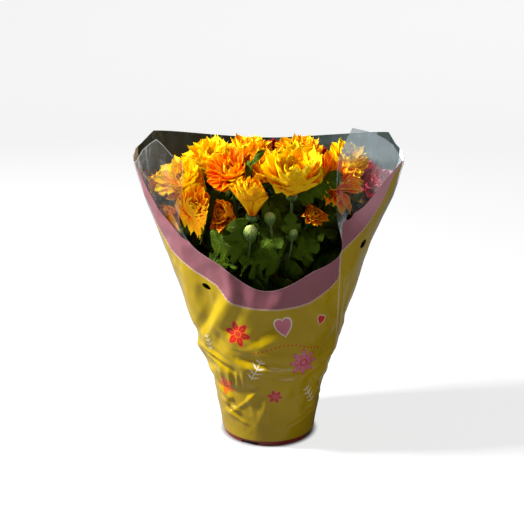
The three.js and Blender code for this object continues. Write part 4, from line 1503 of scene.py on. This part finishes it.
@dataclass
class Soil:
    """The root ball, with a lumpy top.

    Attributes:
        side: Its outline from the middle of its foot to the edge of its top, as (radius, height).
        top: The height of its top.
        brim: The radius of its top.
        rings: How many rings of faces its top has.
        lump: The height of its lumps.
        crumbs: How many crumbs lie on it.
        spread: How far from the axis they lie.
    """

    side: tuple = ((0, 4.95), (30, 4.95), (42.2, 5.2), (43.4, 8), (54.2, 80))
    top: float = 84.0
    brim: float = 54.3
    rings: int = 40
    lump: float = 2.24
    crumbs: int = 260
    spread: float = 52.0

    def build(self) -> None:
        """Builds the soil and says what it replaces."""
        inward = [1 - k / self.rings for k in range(self.rings)]
        top = [(self.brim * share, self.top - 1.2 * share**8) for share in inward]
        piece = turned("soil_body", [*self.side, *top, (0, self.top)], 120)
        points = points_of(piece.data)
        high = smoothstep(points[:, 2], 79, 83)
        rough = np.array([noise.fractal(Vector(p / 7.0), 1.0, 2.0, 5) for p in points])
        points[:, 2] += high * self.lump * rough
        points[:, :2] *= (1 - 0.004 * (1 - high) * (1 + rough))[:, None]
        set_points(piece.data, points)
        rng = np.random.default_rng(5)
        crumb = added(bpy.ops.mesh.primitive_ico_sphere_add, subdivisions=1, radius=MM)
        pieces = [piece]
        for _ in range(self.crumbs):
            turn, reach = rng.uniform(0, 2 * pi), self.spread * rng.uniform(0, 1) ** 0.5
            copy = crumb.copy()
            copy.data = crumb.data.copy()
            bpy.context.scene.collection.objects.link(copy)
            copy.location = (reach * cos(turn) * MM, reach * sin(turn) * MM, (self.top + 0.6) * MM)
            copy.scale = rng.uniform(0.5, 2.2, 3)
            copy.rotation_euler = rng.uniform(0, 6, 3)
            activate(copy)
            bpy.ops.object.transform_apply()
            pieces.append(copy)
        bpy.data.objects.remove(crumb)
        piece = join("root_ball", pieces)
        smooth(piece, 50.0)
        piece.data.materials.append(PEAT.material())
        dress(piece, "soil")


# ---- The sleeve's film ----
@dataclass
class Crease:
    """A straight fold in the front sheet.

    Attributes:
        start, end: Its ends as (x, height).
        depth: How far it stands out, or in where it is negative, against the others.
        width: How wide it is.
        strength: How far a crease of depth 1 stands out.
        sharpness: The power of its slope.
    """

    start: tuple[float, float]
    end: tuple[float, float]
    depth: float
    width: float
    strength: float = 1.7
    sharpness: float = 1.15

    def lift(self, x: Array, z: Array) -> Array:
        """Returns how far it moves the film at places of the front sheet."""
        off, share = from_line(x, z, self.start, self.end)
        fade = np.sin(pi * share.clip(0.02, 0.98)) ** 0.5
        slope = (1 - np.minimum(off / self.width, 1.0)) ** self.sharpness
        return self.strength * self.depth * fade * slope


def from_line(x: Array, z: Array, start: Sequence[float], end: Sequence[float]) -> tuple[Array, Array]:
    """Measures places of the flat front sheet against a straight line.

    Args:
        x: The places across.
        z: Their heights.
        start: One end of the line.
        end: Its other end.

    Returns:
        How far they are from the line, and how far along it they are, from 0 to 1.
    """
    a, b = np.array(start, float), np.array(end, float)
    way, spot = b - a, np.stack([x, z], axis=-1) - a
    share = (spot @ way / (way @ way)).clip(0, 1)
    return np.linalg.norm(spot - share[:, None] * way, axis=-1), share


def spline_through(points: Sequence[tuple[float, float]], steps: int) -> Array:
    """Draws a smooth open curve.

    Args:
        points: The 2-D points that it goes through.
        steps: The number of steps between each two.

    Returns:
        The curve's points.
    """
    rows = np.array(points, float)
    ends = np.concatenate([2 * rows[:1] - rows[1:2], rows, 2 * rows[-1:] - rows[-2:-1]])
    curve = []
    for a, b, c, d in zip(ends, ends[1:], ends[2:], ends[3:]):
        for t in np.arange(steps) / steps:
            bow = (2 * a - 5 * b + 4 * c - d) * t**2 + (3 * b - a - 3 * c + d) * t**3
            curve.append(0.5 * (2 * b + (c - a) * t + bow))
    return np.array([*curve, rows[-1]])


LEFT_EAR = ((-140, 262), (-131, 270), (-123, 277), (-116, 288), (-108, 295), (-101, 300), (-94, 295))
WINDOW = ((-87, 288), (-77, 279), (-79, 250), (-82, 225), (-70, 203), (-44, 188), (-20, 171), (-3, 165.5),
          (14, 169.5), (36, 181), (66, 197), (60, 236), (60, 280), (66, 300))
RIGHT_EAR = ((72, 312.5), (85, 309), (94, 305.5), (104, 300), (113, 293), (119, 285), (124, 276), (140, 268))
CUT_LINE = np.concatenate([LEFT_EAR, spline_through(WINDOW, 8), RIGHT_EAR])  # from seam to seam
BACK_CORNERS = (((-145, 275), (-131, 281), (-122, 289), (-108, 303), (-100, 330), (-145, 330)),
                ((145, 275), (130, 279), (122, 288), (113, 304), (108, 330), (145, 330)))
VENTS = ((-58, 164, -30, -1), (-92, 226, -50, -1), (73, 232, 50, -1), (88, 201, 60, -1),
         (60, 166, -30, 1), (-76, 226, 50, 1))  # as (x, height, lean in degrees, -1 front or 1 back)
BAND_TOP = ((-135, 282), (-120, 266), (-117, 257), (-109, 243), (-102, 232), (-90, 220), (-81, 210),
            (-72, 206), (-58, 200), (-44, 194), (-35, 188), (-30, 184), (-21, 178), (-13, 175), (-4, 173),
            (6, 174), (13, 176), (21, 181), (30, 186), (42, 192), (53, 198), (64.5, 204), (66, 225),
            (76, 234), (87, 240), (96, 250), (106, 260), (116, 269), (135, 284))
BAND_FOOT = ((-135, 272), (-115, 237), (-109, 221), (-102, 208), (-92, 194), (-82, 186), (-68, 177),
             (-56, 171), (-48, 167), (-44, 162), (-39, 156), (-33, 152), (-22, 149.5), (-11, 148.5),
             (10, 148), (28, 150), (38, 153), (47, 157), (56, 163), (64.5, 171), (66, 197), (76, 206),
             (86, 215), (96, 226), (104, 238), (111, 252), (116, 265), (135, 282))
CREASES = [Crease((x0, z0), (x1, z1), depth, width) for x0, z0, x1, z1, depth, width in (
    (-33, 164, -61, 106, 2.8, 10), (-49, 158, -67, 110, -1.8, 7), (-27, 150, -44, 108, -1.2, 9),
    (-66, 98, -34, 86, 1.5, 4.5), (-62, 91, -42, 80, 1.1, 3.5), (-64, 94, -38, 83, -1.0, 3.0),
    (-47, 84, -43, 60, 1.1, 2.8), (-39, 84, -35, 61, 1.2, 2.8), (-31, 83, -29, 60, 1.1, 2.6),
    (-25, 82, -24, 64, 0.8, 2.6), (-54, 58, -30, 46, 1.9, 5), (-12, 68, -45, 31, -2.2, 5.5),
    (-8, 64, -38, 31, 1.3, 5), (-47, 44, -20, 32, 1.5, 4), (-44, 34, -20, 23, 1.2, 3.5),
    (-46, 39, -22, 28, -0.9, 3), (-30, 96, 38, 85, -2.2, 5.5), (-32, 103, 42, 98, 1.0, 6),
    (-26, 88, 32, 79, 1.2, 5), (6, 79, 38, 77, -2.4, 6), (65, 86, 36, 68, -2.2, 5.5),
    (63, 92, 38, 76, 1.6, 5.5), (40, 76, 48, 44, 1.4, 2.8), (46, 74, 50, 48, 1.0, 2.4),
    (53, 41, 10, 21, 1.7, 4.5), (52, 33, 17, 18, 1.2, 3.5), (51, 37, 13, 22, -0.9, 3),
    (66, 196, 68, 106, 1.4, 3.5), (8, 136, -22, 108, -1.4, 10), (-42, 180, -27, 158, 1.3, 7),
    (40, 150, 62, 112, 1.2, 8), (20, 128, 52, 100, -1.0, 8), (-82, 206, -70, 112, 2.2, 13),
    (-60, 190, -54, 100, -1.6, 13), (-2, 60, -6, 22, 0.8, 7), (74, 178, 60, 158, 1.0, 5),
    (-20, 60, -14, 30, 0.6, 5))]


@dataclass
class Sleeve:
    """The printed film sleeve.

    Attributes:
        columns: Faces round it.
        rows: Faces up it.
        front_share: The share of its columns on the front sheet.
        low_share: The share of its rows in the creased lower part, and how far up that part goes.
        film: Its thickness.
        slack: How far inside the sleeve's outline the film lies where it is smooth.
        most: How far from there the film may be moved.
        folds: Straight folds as (lean in degrees, distance between them, height).
        pot: The pot's outline as (height, radius), which the film stays clear of.
        vent: Half the length and half the width of a vent hole.
        back_band: Of the band at the back, the height of its foot in the middle, how far it rises from
            there to the seams, and how tall it is.
        pleat_highlight: Where the front sheet's pleat is, along which a highlight line is painted.
        back_highlights: Where the middle of two painted highlight lines on the back sheet is, and half the
            distance between them.
    """

    columns: int = 230
    rows: int = 150
    front_share: float = 0.6
    low_share: tuple[float, float] = (0.56, 0.43)
    film: float = 0.3
    slack: float = 0.35
    most: float = 4.5
    folds: tuple = ((62, 33, 2.8), (-58, 39, 3.0), (14, 27, 1.8), (-24, 48, 2.6), (84, 44, 2.4),
                    (38, 21, 1.6))
    pot: tuple = ((0, 44.8), (79, 56.8), (81, 60.2), (95, 60.8), (99, 20.0))
    vent: tuple[float, float] = (4.5, 2.3)
    back_band: tuple[float, float, float] = (176, 62, 24)
    pleat_highlight: float = 65.4
    back_highlights: tuple[float, float] = (-53, 5)

    def cutter(self, outline: Array, low: float, high: float) -> bpy.types.Object:
        """Makes a prism along Y.

        Args:
            outline: Its outline as (x, height).
            low: Where it starts.
            high: Where it ends.

        Returns:
            The object.
        """
        count = len(outline)
        piece = added(bpy.ops.mesh.primitive_circle_add, vertices=count, radius=1.0, fill_type="NGON")
        set_points(piece.data, np.stack([outline[:, 0], np.full(count, low), outline[:, 1]], -1))
        with editing(piece):
            bpy.ops.mesh.extrude_region_move(TRANSFORM_OT_translate={"value": (0, (high - low) * MM, 0)})
        recalculate(piece)
        return piece

    def cutters(self) -> list[bpy.types.Object]:
        """Makes the prisms that cut the window, the back's corners and the vent holes."""
        window = np.concatenate([CUT_LINE, [[140, 345], [-140, 345]]])
        made = [self.cutter(window, -120, -0.8)]
        for corner in BACK_CORNERS:
            made.append(self.cutter(np.array(corner, float), 1.5, 120))
        around = 2 * pi * np.arange(28) / 28
        oval = np.stack([self.vent[0] * np.cos(around), self.vent[1] * np.sin(around)], -1)
        for x, height, lean, way in VENTS:
            c, s = cos(radians(lean)), sin(radians(lean))
            depths = (5, 120) if way > 0 else (-120, -5)
            made.append(self.cutter(oval @ np.array([[c, s], [-s, c]]) + np.array([x, height]), *depths))
        return made

    def crumple(self, turn: Array, z: Array, points: Array) -> Array:
        """Works out undulations and straight folds.

        Args:
            turn: The film's angles.
            z: Its heights.
            points: Its points where it is smooth.

        Returns:
            How far they move the film out.
        """
        def drift(wide: float, tall: float, shift: float) -> Array:
            """Returns a noise of a width and height over the points."""
            spots = points / np.array([wide, wide, tall]) + shift
            return np.array([noise.noise(Vector(spot)) for spot in spots])
        loose = smoothstep(z, 98, 130)
        low = smoothstep(z, 14, 40) * (1 - 0.6 * loose)
        around, warp = np.radians(turn) * 60, drift(60, 60, 3.0)
        total = (0.35 + 0.75 * loose) * 1.5 * (0.4 - 2 * np.abs(drift(30, 38, 0.0)))
        total = total + 0.25 * (0.4 - 2 * np.abs(drift(9, 15, 7.0)))
        for k, (lean, wave, height) in enumerate(self.folds):
            way = radians(lean)
            step = (around * cos(way) + z * sin(way)) / wave + 0.13 * k + 0.5 * warp
            here = smoothstep(drift(42, 42, 11.0 + 5 * k), -0.05, 0.25)
            total = total + height * low * here * (np.abs(2 * (step % 1) - 1) - 0.5)
        return total

    def lifted(self, turn: Array, z: Array) -> Array:
        """Folds the film, except at the seams and the foot, and clear of the pot.

        Args:
            turn: The film's angles.
            z: Its heights.

        Returns:
            Its points.
        """
        rest = FORM.point(turn, z)
        lift = self.crumple(turn, z, rest)
        for crease in CREASES:
            lift = lift + np.where(np.abs(turn) < 90, crease.lift(rest[:, 0], z), 0.0)
        room = np.linalg.norm(rest[:, :2], axis=1) - self.slack - along(self.pot, z) - 0.5
        lift = np.maximum(self.most * np.tanh(lift / self.most), -room.clip(0, 4.0))
        lift = lift * smoothstep(z, FORM.foot, FORM.foot + 8)
        lift = lift * (1 - 0.8 * smoothstep(z, 120, 150) * bell(np.abs(turn), 90, 16))
        lift = lift - 4.0 * smoothstep(turn, 50, 85) * bell(z, 192, 34)
        return FORM.point(turn, z, lift - self.slack)

    def build(self) -> None:
        """Builds the sleeve and says what it replaces."""
        piece = added(bpy.ops.mesh.primitive_grid_add, x_subdivisions=self.columns,
                      y_subdivisions=self.rows, size=2.0)
        x, y = points_of(piece.data).T[:2] * MM
        turn = np.interp(np.abs(x), [0, self.front_share, 1], [0, 90, 180]) * np.sign(x)
        share = np.interp((y + 1) / 2, [0, self.low_share[0], 1], [0, self.low_share[1], 1])
        set_points(piece.data, self.lifted(turn, mix(FORM.foot, eased(FORM.top, turn), share)))
        recalculate(piece, merge=0.00003)
        apply_modifier(piece, "SOLIDIFY", thickness=self.film * MM, offset=0.0)
        for cutter in self.cutters():
            cut_away(piece, cutter)
        piece.name = "film_sleeve"
        self.mark(piece.data)
        smooth(piece, 50.0)
        piece.data.materials.append(Film().printed_material())
        dress(piece, "sleeve")

    def mark(self, mesh: bpy.types.Mesh) -> None:
        """Keeps on the mesh what the film's material reads.

        That is where each vertex lies on the flat sheet, against the band's edges, against the cut edge
        and the seams, how hazy the film is there with painted reflections added, and whether a face looks
        inwards.
        """
        x, y, z = points_of(mesh).T
        front = y < 0
        low, rise, tall = self.back_band
        above = z - low - rise * smoothstep(np.abs(x), 0, 120)
        # Two painted highlight lines on the back sheet, either side of the given middle.
        back_highlights = 0.7 * (np.abs(x - self.back_highlights[0]) - self.back_highlights[1])
        ends = smoothstep(z, 104, 120) * (1 - smoothstep(z, 222, 240))
        right = smoothstep(x, 40, 70)
        # A little real haze, plus painted reflections towards the seams, on the right and high on the right
        # ear.
        haze_and_reflection = 0.07 + 0.10 * smoothstep(np.abs(x), 84, 104) + 0.24 * right * smoothstep(x, 82, 104)
        haze_and_reflection = haze_and_reflection + right * (0.50 * smoothstep(z, 274, 296) + 0.22 * smoothstep(-z, -232, -205))
        cut = np.min([from_line(x, z, a, b)[0] for a, b in zip(CUT_LINE, CUT_LINE[1:])], axis=0)
        kept = {
            "front": front,
            "rise_low": np.where(front, z - along(BAND_FOOT, x), above),
            "rise_high": np.where(front, z - along(BAND_TOP, x), above - tall),
            "pleat_highlight": np.where(front, x - self.pleat_highlight, back_highlights),
            "highlight_length": np.where(front, ends, smoothstep(z, 268, 286)),
            "margin": np.abs(y) + 11 * (1 - smoothstep(z, 88, 165)),
            "cut": np.where(front, cut, 99.0),
            # A painted reflection in a patch beside the right pleat.
            "haze_and_reflection": haze_and_reflection + 0.34 * bell(x, 70, 11) * bell(z, 218, 24),
        }
        for name, values in kept.items():
            store(mesh, name, values)
        inward = [face.normal.dot(Vector((face.center.x, face.center.y, 0))) < 0 for face in mesh.polygons]
        store(mesh, "inside", inward, "FACE")
        store_uv(mesh, self.unrolled(x, y, z) / 100, z / 100)

    def unrolled(self, x: Array, y: Array, z: Array) -> Array:
        """Unrolls points of the film.

        Args:
            x, y: Where they lie.
            z: Their heights.

        Returns:
            How far along the film's girth they lie from the middle of the front.
        """
        angles, step = np.linspace(-180, 180, 361), 5
        table = []
        for level in range(0, 321, step):
            ring = FORM.point(angles, np.full(len(angles), level))[:, :2]
            steps = np.linalg.norm(np.diff(ring, axis=0), axis=1)
            table.append(np.concatenate([[0], np.cumsum(steps)]) - steps[:180].sum())
        table = np.array(table)
        angle = np.degrees(np.arcsin((x / along(FORM.stations, z)).clip(-1, 1)))
        turn = (np.where(y > 0, np.sign(x) * 180 - angle, angle) + 180).clip(0, 359.999)
        level = (z / step).clip(0, len(table) - 1.001)
        column, row = turn.astype(int), level.astype(int)
        below, above = (mix(table[r, column], table[r, column + 1], turn - column) for r in (row, row + 1))
        return mix(below, above, level - row)


class Motif(Enum):
    """The simple shapes printed on the film."""

    BLOSSOM = "blossom"
    HEART = "heart"
    SPRIG = "sprig"


@dataclass(frozen=True)
class Printed:
    """One printed shape.

    Attributes:
        motif: Its kind.
        at: Its middle on the flat sheet, from the front's middle and the foot, in millimetres.
        size: Its radius.
        turn: Its turn in degrees.
        petals: How many petals a blossom has.
        fill, line: Its colour, and the colour of its outline and lines.
    """

    motif: Motif
    at: tuple[float, float]
    size: float
    turn: float
    petals: int
    fill: Colour
    line: Colour


RED, ORANGE, ROSE, PALE = (0.52, 0.012, 0.006), (0.80, 0.13, 0.005), (0.55, 0.16, 0.22), (0.72, 0.62, 0.48)
PRINTS = (
    Printed(Motif.BLOSSOM, (-30, 122), 13.5, 12, 6, RED, ORANGE),
    Printed(Motif.BLOSSOM, (34, 92), 15, 0, 8, ROSE, RED),
    Printed(Motif.BLOSSOM, (-46, 62), 11, 30, 5, ORANGE, RED),
    Printed(Motif.BLOSSOM, (6, 56), 8, 10, 6, RED, ROSE),
    Printed(Motif.HEART, (14, 128), 11, -12, 0, ROSE, PALE),
    Printed(Motif.HEART, (52, 132), 6, 15, 0, RED, PALE),
    Printed(Motif.SPRIG, (-12, 86), 12, 25, 0, PALE, PALE),
    Printed(Motif.SPRIG, (44, 52), 11, -30, 0, PALE, PALE),
    Printed(Motif.SPRIG, (-66, 106), 9, -20, 0, PALE, PALE),
)


def motif_group(motif: Motif) -> bpy.types.NodeTree:
    """Builds the group that draws one kind of printed shape.

    Args:
        motif: The kind.

    Returns:
        The group. It puts out a mask of the shape and a mask of its lines.
    """
    inputs = {name: "Float" for name in ("Across", "Up", "At Across", "At Up", "Size", "Turn", "Petals")}
    tree, reads, feeds = new_group(f"print_{motif.value}", inputs, {"Shape": "Float", "Lines": "Float"})
    x = (reads["Across"] - reads["At Across"]) / reads["Size"]
    y = (reads["Up"] - reads["At Up"]) / reads["Size"]
    spun = tree.node("VectorRotate", {"Vector": tree.vector(x, y), "Angle": reads["Turn"]},
                     rotation_type="Z_AXIS")
    x, y = tree.split(spun.outputs[0])
    reach = tree.math("SQRT", x * x + y * y)
    if motif is Motif.BLOSSOM:
        wave = tree.math("COSINE", tree.math("ARCTAN2", y, x) * reads["Petals"])
        edge = wave * 0.2 + 0.78
        shape = tree.band(reach - edge, 0.02, -0.02)
        between = tree.band(wave, -0.86, -0.97)
        veins = tree.band(abs(wave - 0.93), 0.05, 0.01) * tree.band(reach, 0.75, 0.6)
        ring = tree.band(abs(reach - 0.24), 0.05, 0.03)
        lines = tree.most(between, veins, ring, tree.band(edge - reach, 0.08, 0.05))
    elif motif is Motif.HEART:
        drop = y - tree.math("SQRT", abs(x)) * 0.62
        far = tree.math("SQRT", x * x + drop * drop)
        shape, lines = tree.band(far, 0.82, 0.78), tree.band(far, 0.66, 0.70)
    else:
        stem = tree.band(abs(x), 0.06, 0.03) * tree.band(reach, 1.0, 0.95)
        slant = tree.math("FRACT", (y + 1.0) * 2.0) - abs(x) * 1.1
        room = 0.17 - abs(abs(x) * 0.5 - 0.12)
        leaf = tree.band(abs(slant - 0.3) - room, 0.02, -0.02) * tree.band(reach, 0.95, 0.9)
        shape = tree.most(stem, leaf)
        lines = shape * 0.0
    tree.feed(feeds["Shape"], shape)
    tree.feed(feeds["Lines"], lines * shape)
    return tree.tree


class Film(Surface):
    """The sleeve's film: printed low down, with a band above it, and clear at the top."""

    def __init__(self) -> None:
        """Starts the material and reads what the sleeve keeps on its mesh."""
        super().__init__("sleeve_film")
        across, up = self.uv()
        self.x, self.z = across * 100.0, up * 100.0
        self.spot = self.place()
        self.stretched = self.node("Mapping", {"Vector": self.spot, "Scale": (55.0, 55.0, 9.0)}).outputs[0]
        self.front, self.inside, self.haze_and_reflection = (self.attribute(n) for n in ("front", "inside", "haze_and_reflection"))
        # Painted highlights: long streaks and fine flecks where the film catches the light.
        streaks = self.band(self.noise(self.stretched, 1.0, 5.0, 0.65), 0.52, 0.78)
        fine = self.band(self.noise(self.spot, 70.0, 6.0, 0.7), 0.5, 0.8)
        self.painted_highlights = self.most(streaks, fine * 0.6)
        self.seam = self.band(self.attribute("margin"), 10.8, 10.3)

    def artwork(self, colour: Socket) -> Socket:
        """Lays the printed shapes, the painted shade towards the foot and the dotted line over a colour."""
        x, z = self.x, self.z
        groups = {motif: motif_group(motif) for motif in Motif}
        for item in PRINTS:
            drawn = self.node("Group", {
                "Across": x, "Up": z, "At Across": item.at[0], "At Up": item.at[1], "Size": item.size,
                "Turn": radians(item.turn), "Petals": float(item.petals)}, node_tree=groups[item.motif])
            colour = self.blend(drawn.outputs["Shape"], colour, item.fill)
            colour = self.blend(drawn.outputs["Lines"], colour, item.line)
        # Painted shade: darker towards the foot.
        colour = self.blend(self.band(z, 70, 8) * 0.5, colour, (0.24, 0.145, 0.0))
        line = z - (self.math("SINE", x * 0.085) * 4.0 + 108.0)
        cell = self.math("FRACT", x * 0.25) - 0.5
        reach = self.value("VectorMath", {"0": self.vector(cell * 4.0, line)}, "Value", operation="LENGTH")
        return self.blend(self.band(reach, 0.95, 0.75) * self.band(abs(x - 18.0), 34, 33), colour, RED)

    def banded(self, colour: Socket) -> Socket:
        """Lays the pink band, with the scalloped piping at its foot, over a colour.

        The band's right end is made lighter high up, as painted light through the film.
        """
        level = self.attribute("rise_low") - abs(self.math("SINE", self.x * 1.05)) * 0.9
        piping = self.band(level, -1.5, -1.2) * self.band(level, 0.5, 0.2)
        # Painted light: the band is lighter at the right, high up.
        far = self.band(self.x, 68, 96) * self.band(self.z, 205, 245)
        pink = self.blend(self.noise(self.spot, 18.0, 3.0), (0.24, 0.078, 0.096), (0.32, 0.115, 0.140))
        pink = self.blend(far, pink, (0.62, 0.26, 0.32))
        colour = self.blend(self.band(level, -0.2, 0.2), colour, pink)
        return self.blend(piping * 0.65, colour, (0.62, 0.42, 0.36))

    def clear(self) -> Socket:
        """Returns the colour of the clear film.

        Milky with painted reflections and highlights outside, and dark inside the back as painted shade.
        """
        milky_reflection = self.blend(self.band(self.haze_and_reflection, 0.2, 0.5), (0.11, 0.11, 0.10), (0.70, 0.80, 0.84))
        outside = self.blend(self.painted_highlights, milky_reflection, (0.90, 0.95, 0.97))
        patches = self.band(self.noise(self.stretched, 0.4, 2.0), 0.45, 0.6)
        # Painted shade: the inside of the back sheet is darkened for the shade inside the sleeve.
        painted_inner_shade = self.blend(patches, (0.002, 0.014, 0.010), (0.008, 0.024, 0.020))
        painted_inner_shade = self.blend(self.painted_highlights * 0.6, painted_inner_shade, (0.20, 0.29, 0.28))
        colour = self.blend(self.front, self.blend(self.inside, outside, painted_inner_shade), outside)
        return self.blend(self.seam, colour, (0.46, 0.49, 0.50))

    def cover(self, inner_shade_mask: Value) -> Value:
        """Returns how much the clear film covers.

        Seen from inside, the back sheet covers nearly fully, so that its painted shade shows.
        """
        front = self.painted_highlights * (self.haze_and_reflection * 0.55 + 0.2) + (self.haze_and_reflection - 0.04)
        patches = self.band(self.noise(self.stretched, 0.35, 3.0), 0.35, 0.65)
        back = (patches * 0.06 + 0.90) * inner_shade_mask + (self.painted_highlights * 0.12 + 0.05)
        cover = self.value("Mix", {"0": self.front, "2": back, "3": front})
        # Painted reflection: the film covers more at grazing angles.
        grazing_reflection = self.value("LayerWeight", {"Blend": 0.25}, "Facing")
        return self.most(cover, grazing_reflection * 0.75, self.seam * 0.5)

    def printed_material(self) -> bpy.types.Material:
        """Makes the material.

        It paints highlight lines along the cut edge, along the front pleat and high on the back sheet.
        """
        yellow, grain = self.detail((0.40, 0.262, 0.0004), (0.50, 0.35, 0.001), 14.0, 0.7, 300.0)
        printed = self.band(self.attribute("rise_high"), 0.3, -0.3) * (1.0 - self.seam)
        colour = self.blend(printed, self.clear(), self.banded(self.artwork(yellow)))
        # Painted highlight: a pale line along the window's cut edge, stronger high up.
        cut_edge_highlight = self.band(self.attribute("cut"), 0.9, 0.4)
        edge = cut_edge_highlight * self.band(self.z, 240, 275) * 0.26 + cut_edge_highlight * 0.12
        colour = self.blend(edge, colour, (0.75, 0.76, 0.78))
        # Painted highlight: a pale line along the front pleat, and the two lines high on the back sheet.
        pleat_highlight = self.band(abs(self.attribute("pleat_highlight")), 0.9, 0.3) * self.attribute("highlight_length") * 0.36
        colour = self.blend(pleat_highlight, colour, (0.78, 0.74, 0.68))
        # Painted shade: faces inside the back, seen from their front, show the dark colour and are rougher.
        inner_shade_mask = (1.0 - self.value("NewGeometry", {}, "Backfacing")) * self.inside
        return self.finish(colour, grain, 0.0001, Specular_IOR_Level=0.36, Roughness=inner_shade_mask * 0.35 + 0.26,
                           Alpha=self.most(self.cover(inner_shade_mask), edge, pleat_highlight, printed))


# ---- Studio ----
@dataclass
class Studio:
    """The pale floor, the lights and the camera.

    Attributes:
        camera_place: Where the camera is, in metres.
        camera_pitch: Its turn from looking straight down, in degrees.
        lens: Its focal length for a sensor 36 mm wide.
        sky: The strength of the light from all round.
        floor_glow: How much the far floor glows.
        floor_lift: How much more the floor glows where the camera sees it.
    """

    camera_place: tuple = (-0.00647, -0.85, 0.4054)
    camera_pitch: float = 74.8
    lens: float = 61.96
    sky: float = 0.10
    floor_glow: float = 0.04
    floor_lift: float = 0.78

    def light(self, name: str, place: tuple, aim: tuple, size: float, power: float) -> None:
        """Adds a square soft light.

        Args:
            name: Its name.
            place: Where it is, in metres.
            aim: The point that it faces.
            size: Its side.
            power: Its power in watts.
        """
        turn = (Vector(aim) - Vector(place)).to_track_quat("-Z", "Y").to_euler()
        light = added(bpy.ops.object.light_add, type="AREA", location=place, rotation=turn)
        light.name = name
        light.data.size, light.data.energy = size, power

    def backdrop(self) -> None:
        """Adds the pale floor, which curves up into a wall all round."""
        bend = [(2400 + 500 * sin(radians(a)), 500 - 500 * cos(radians(a))) for a in range(0, 91, 10)]
        floor = turned("studio_floor", [(0, 0), (600, 0), (1400, 0), *bend, (2900, 2600)], 96)
        with editing(floor):
            bpy.ops.mesh.flip_normals()
        smooth(floor, 60.0)
        tree = Surface("studio_floor")
        far = tree.value("VectorMath", {"0": tree.place()}, "Value", operation="LENGTH")
        seen = tree.value("LightPath", {}, "Is Camera Ray") * tree.band(far, 0.044, 0.052)
        glow = seen * self.floor_lift + tree.band(far, 0.4, 1.8) * self.floor_glow
        floor.data.materials.append(tree.finish((0.2, 0.2, 0.2), None, 0.0, Roughness=0.7,
                                                Emission_Color=(1.0, 1.0, 1.0), Emission_Strength=glow))

    def build(self) -> None:
        """Builds the studio."""
        self.backdrop()
        world = bpy.data.worlds.new("studio_world")
        world.use_nodes = True
        background = world.node_tree.nodes["Background"]
        background.inputs["Color"].default_value = (1.0, 1.0, 1.0, 1)
        background.inputs["Strength"].default_value = self.sky
        bpy.context.scene.world = world
        self.light("key", (-1.15, -0.11, 1.3), (0, 0, 0.2), 0.2, 74.0)
        self.light("fill", (1.1, -1.2, 0.5), (0, 0, 0.19), 0.9, 5.6)
        camera = added(bpy.ops.object.camera_add, location=self.camera_place,
                       rotation=(radians(self.camera_pitch), 0, 0))
        camera.data.lens, camera.data.sensor_width = self.lens, 36.0
        bpy.context.scene.camera = camera
        bpy.context.scene.view_settings.view_transform = "Standard"


def main() -> None:
    """Builds the dressed part."""
    logging.basicConfig(level=logging.INFO, format="%(message)s", force=True)
    petal_blank, cup_blank, leaf_blank = Blank.model(5, 8), Blank.model(2, 4), Blank.model(8, 28)
    for number, at in enumerate(BLOOMS, 1):
        Bloom(at, number).build(petal_blank)
    for number, at in enumerate(BUDS, 1):
        Bud(at, number).build(cup_blank)
    for shoot in SHOOTS:
        shoot.build(cup_blank, leaf_blank)
    for piece in (Pot(), Soil(), Sleeve(), Studio()):
        piece.build()


if __name__ == "__main__":
    main()
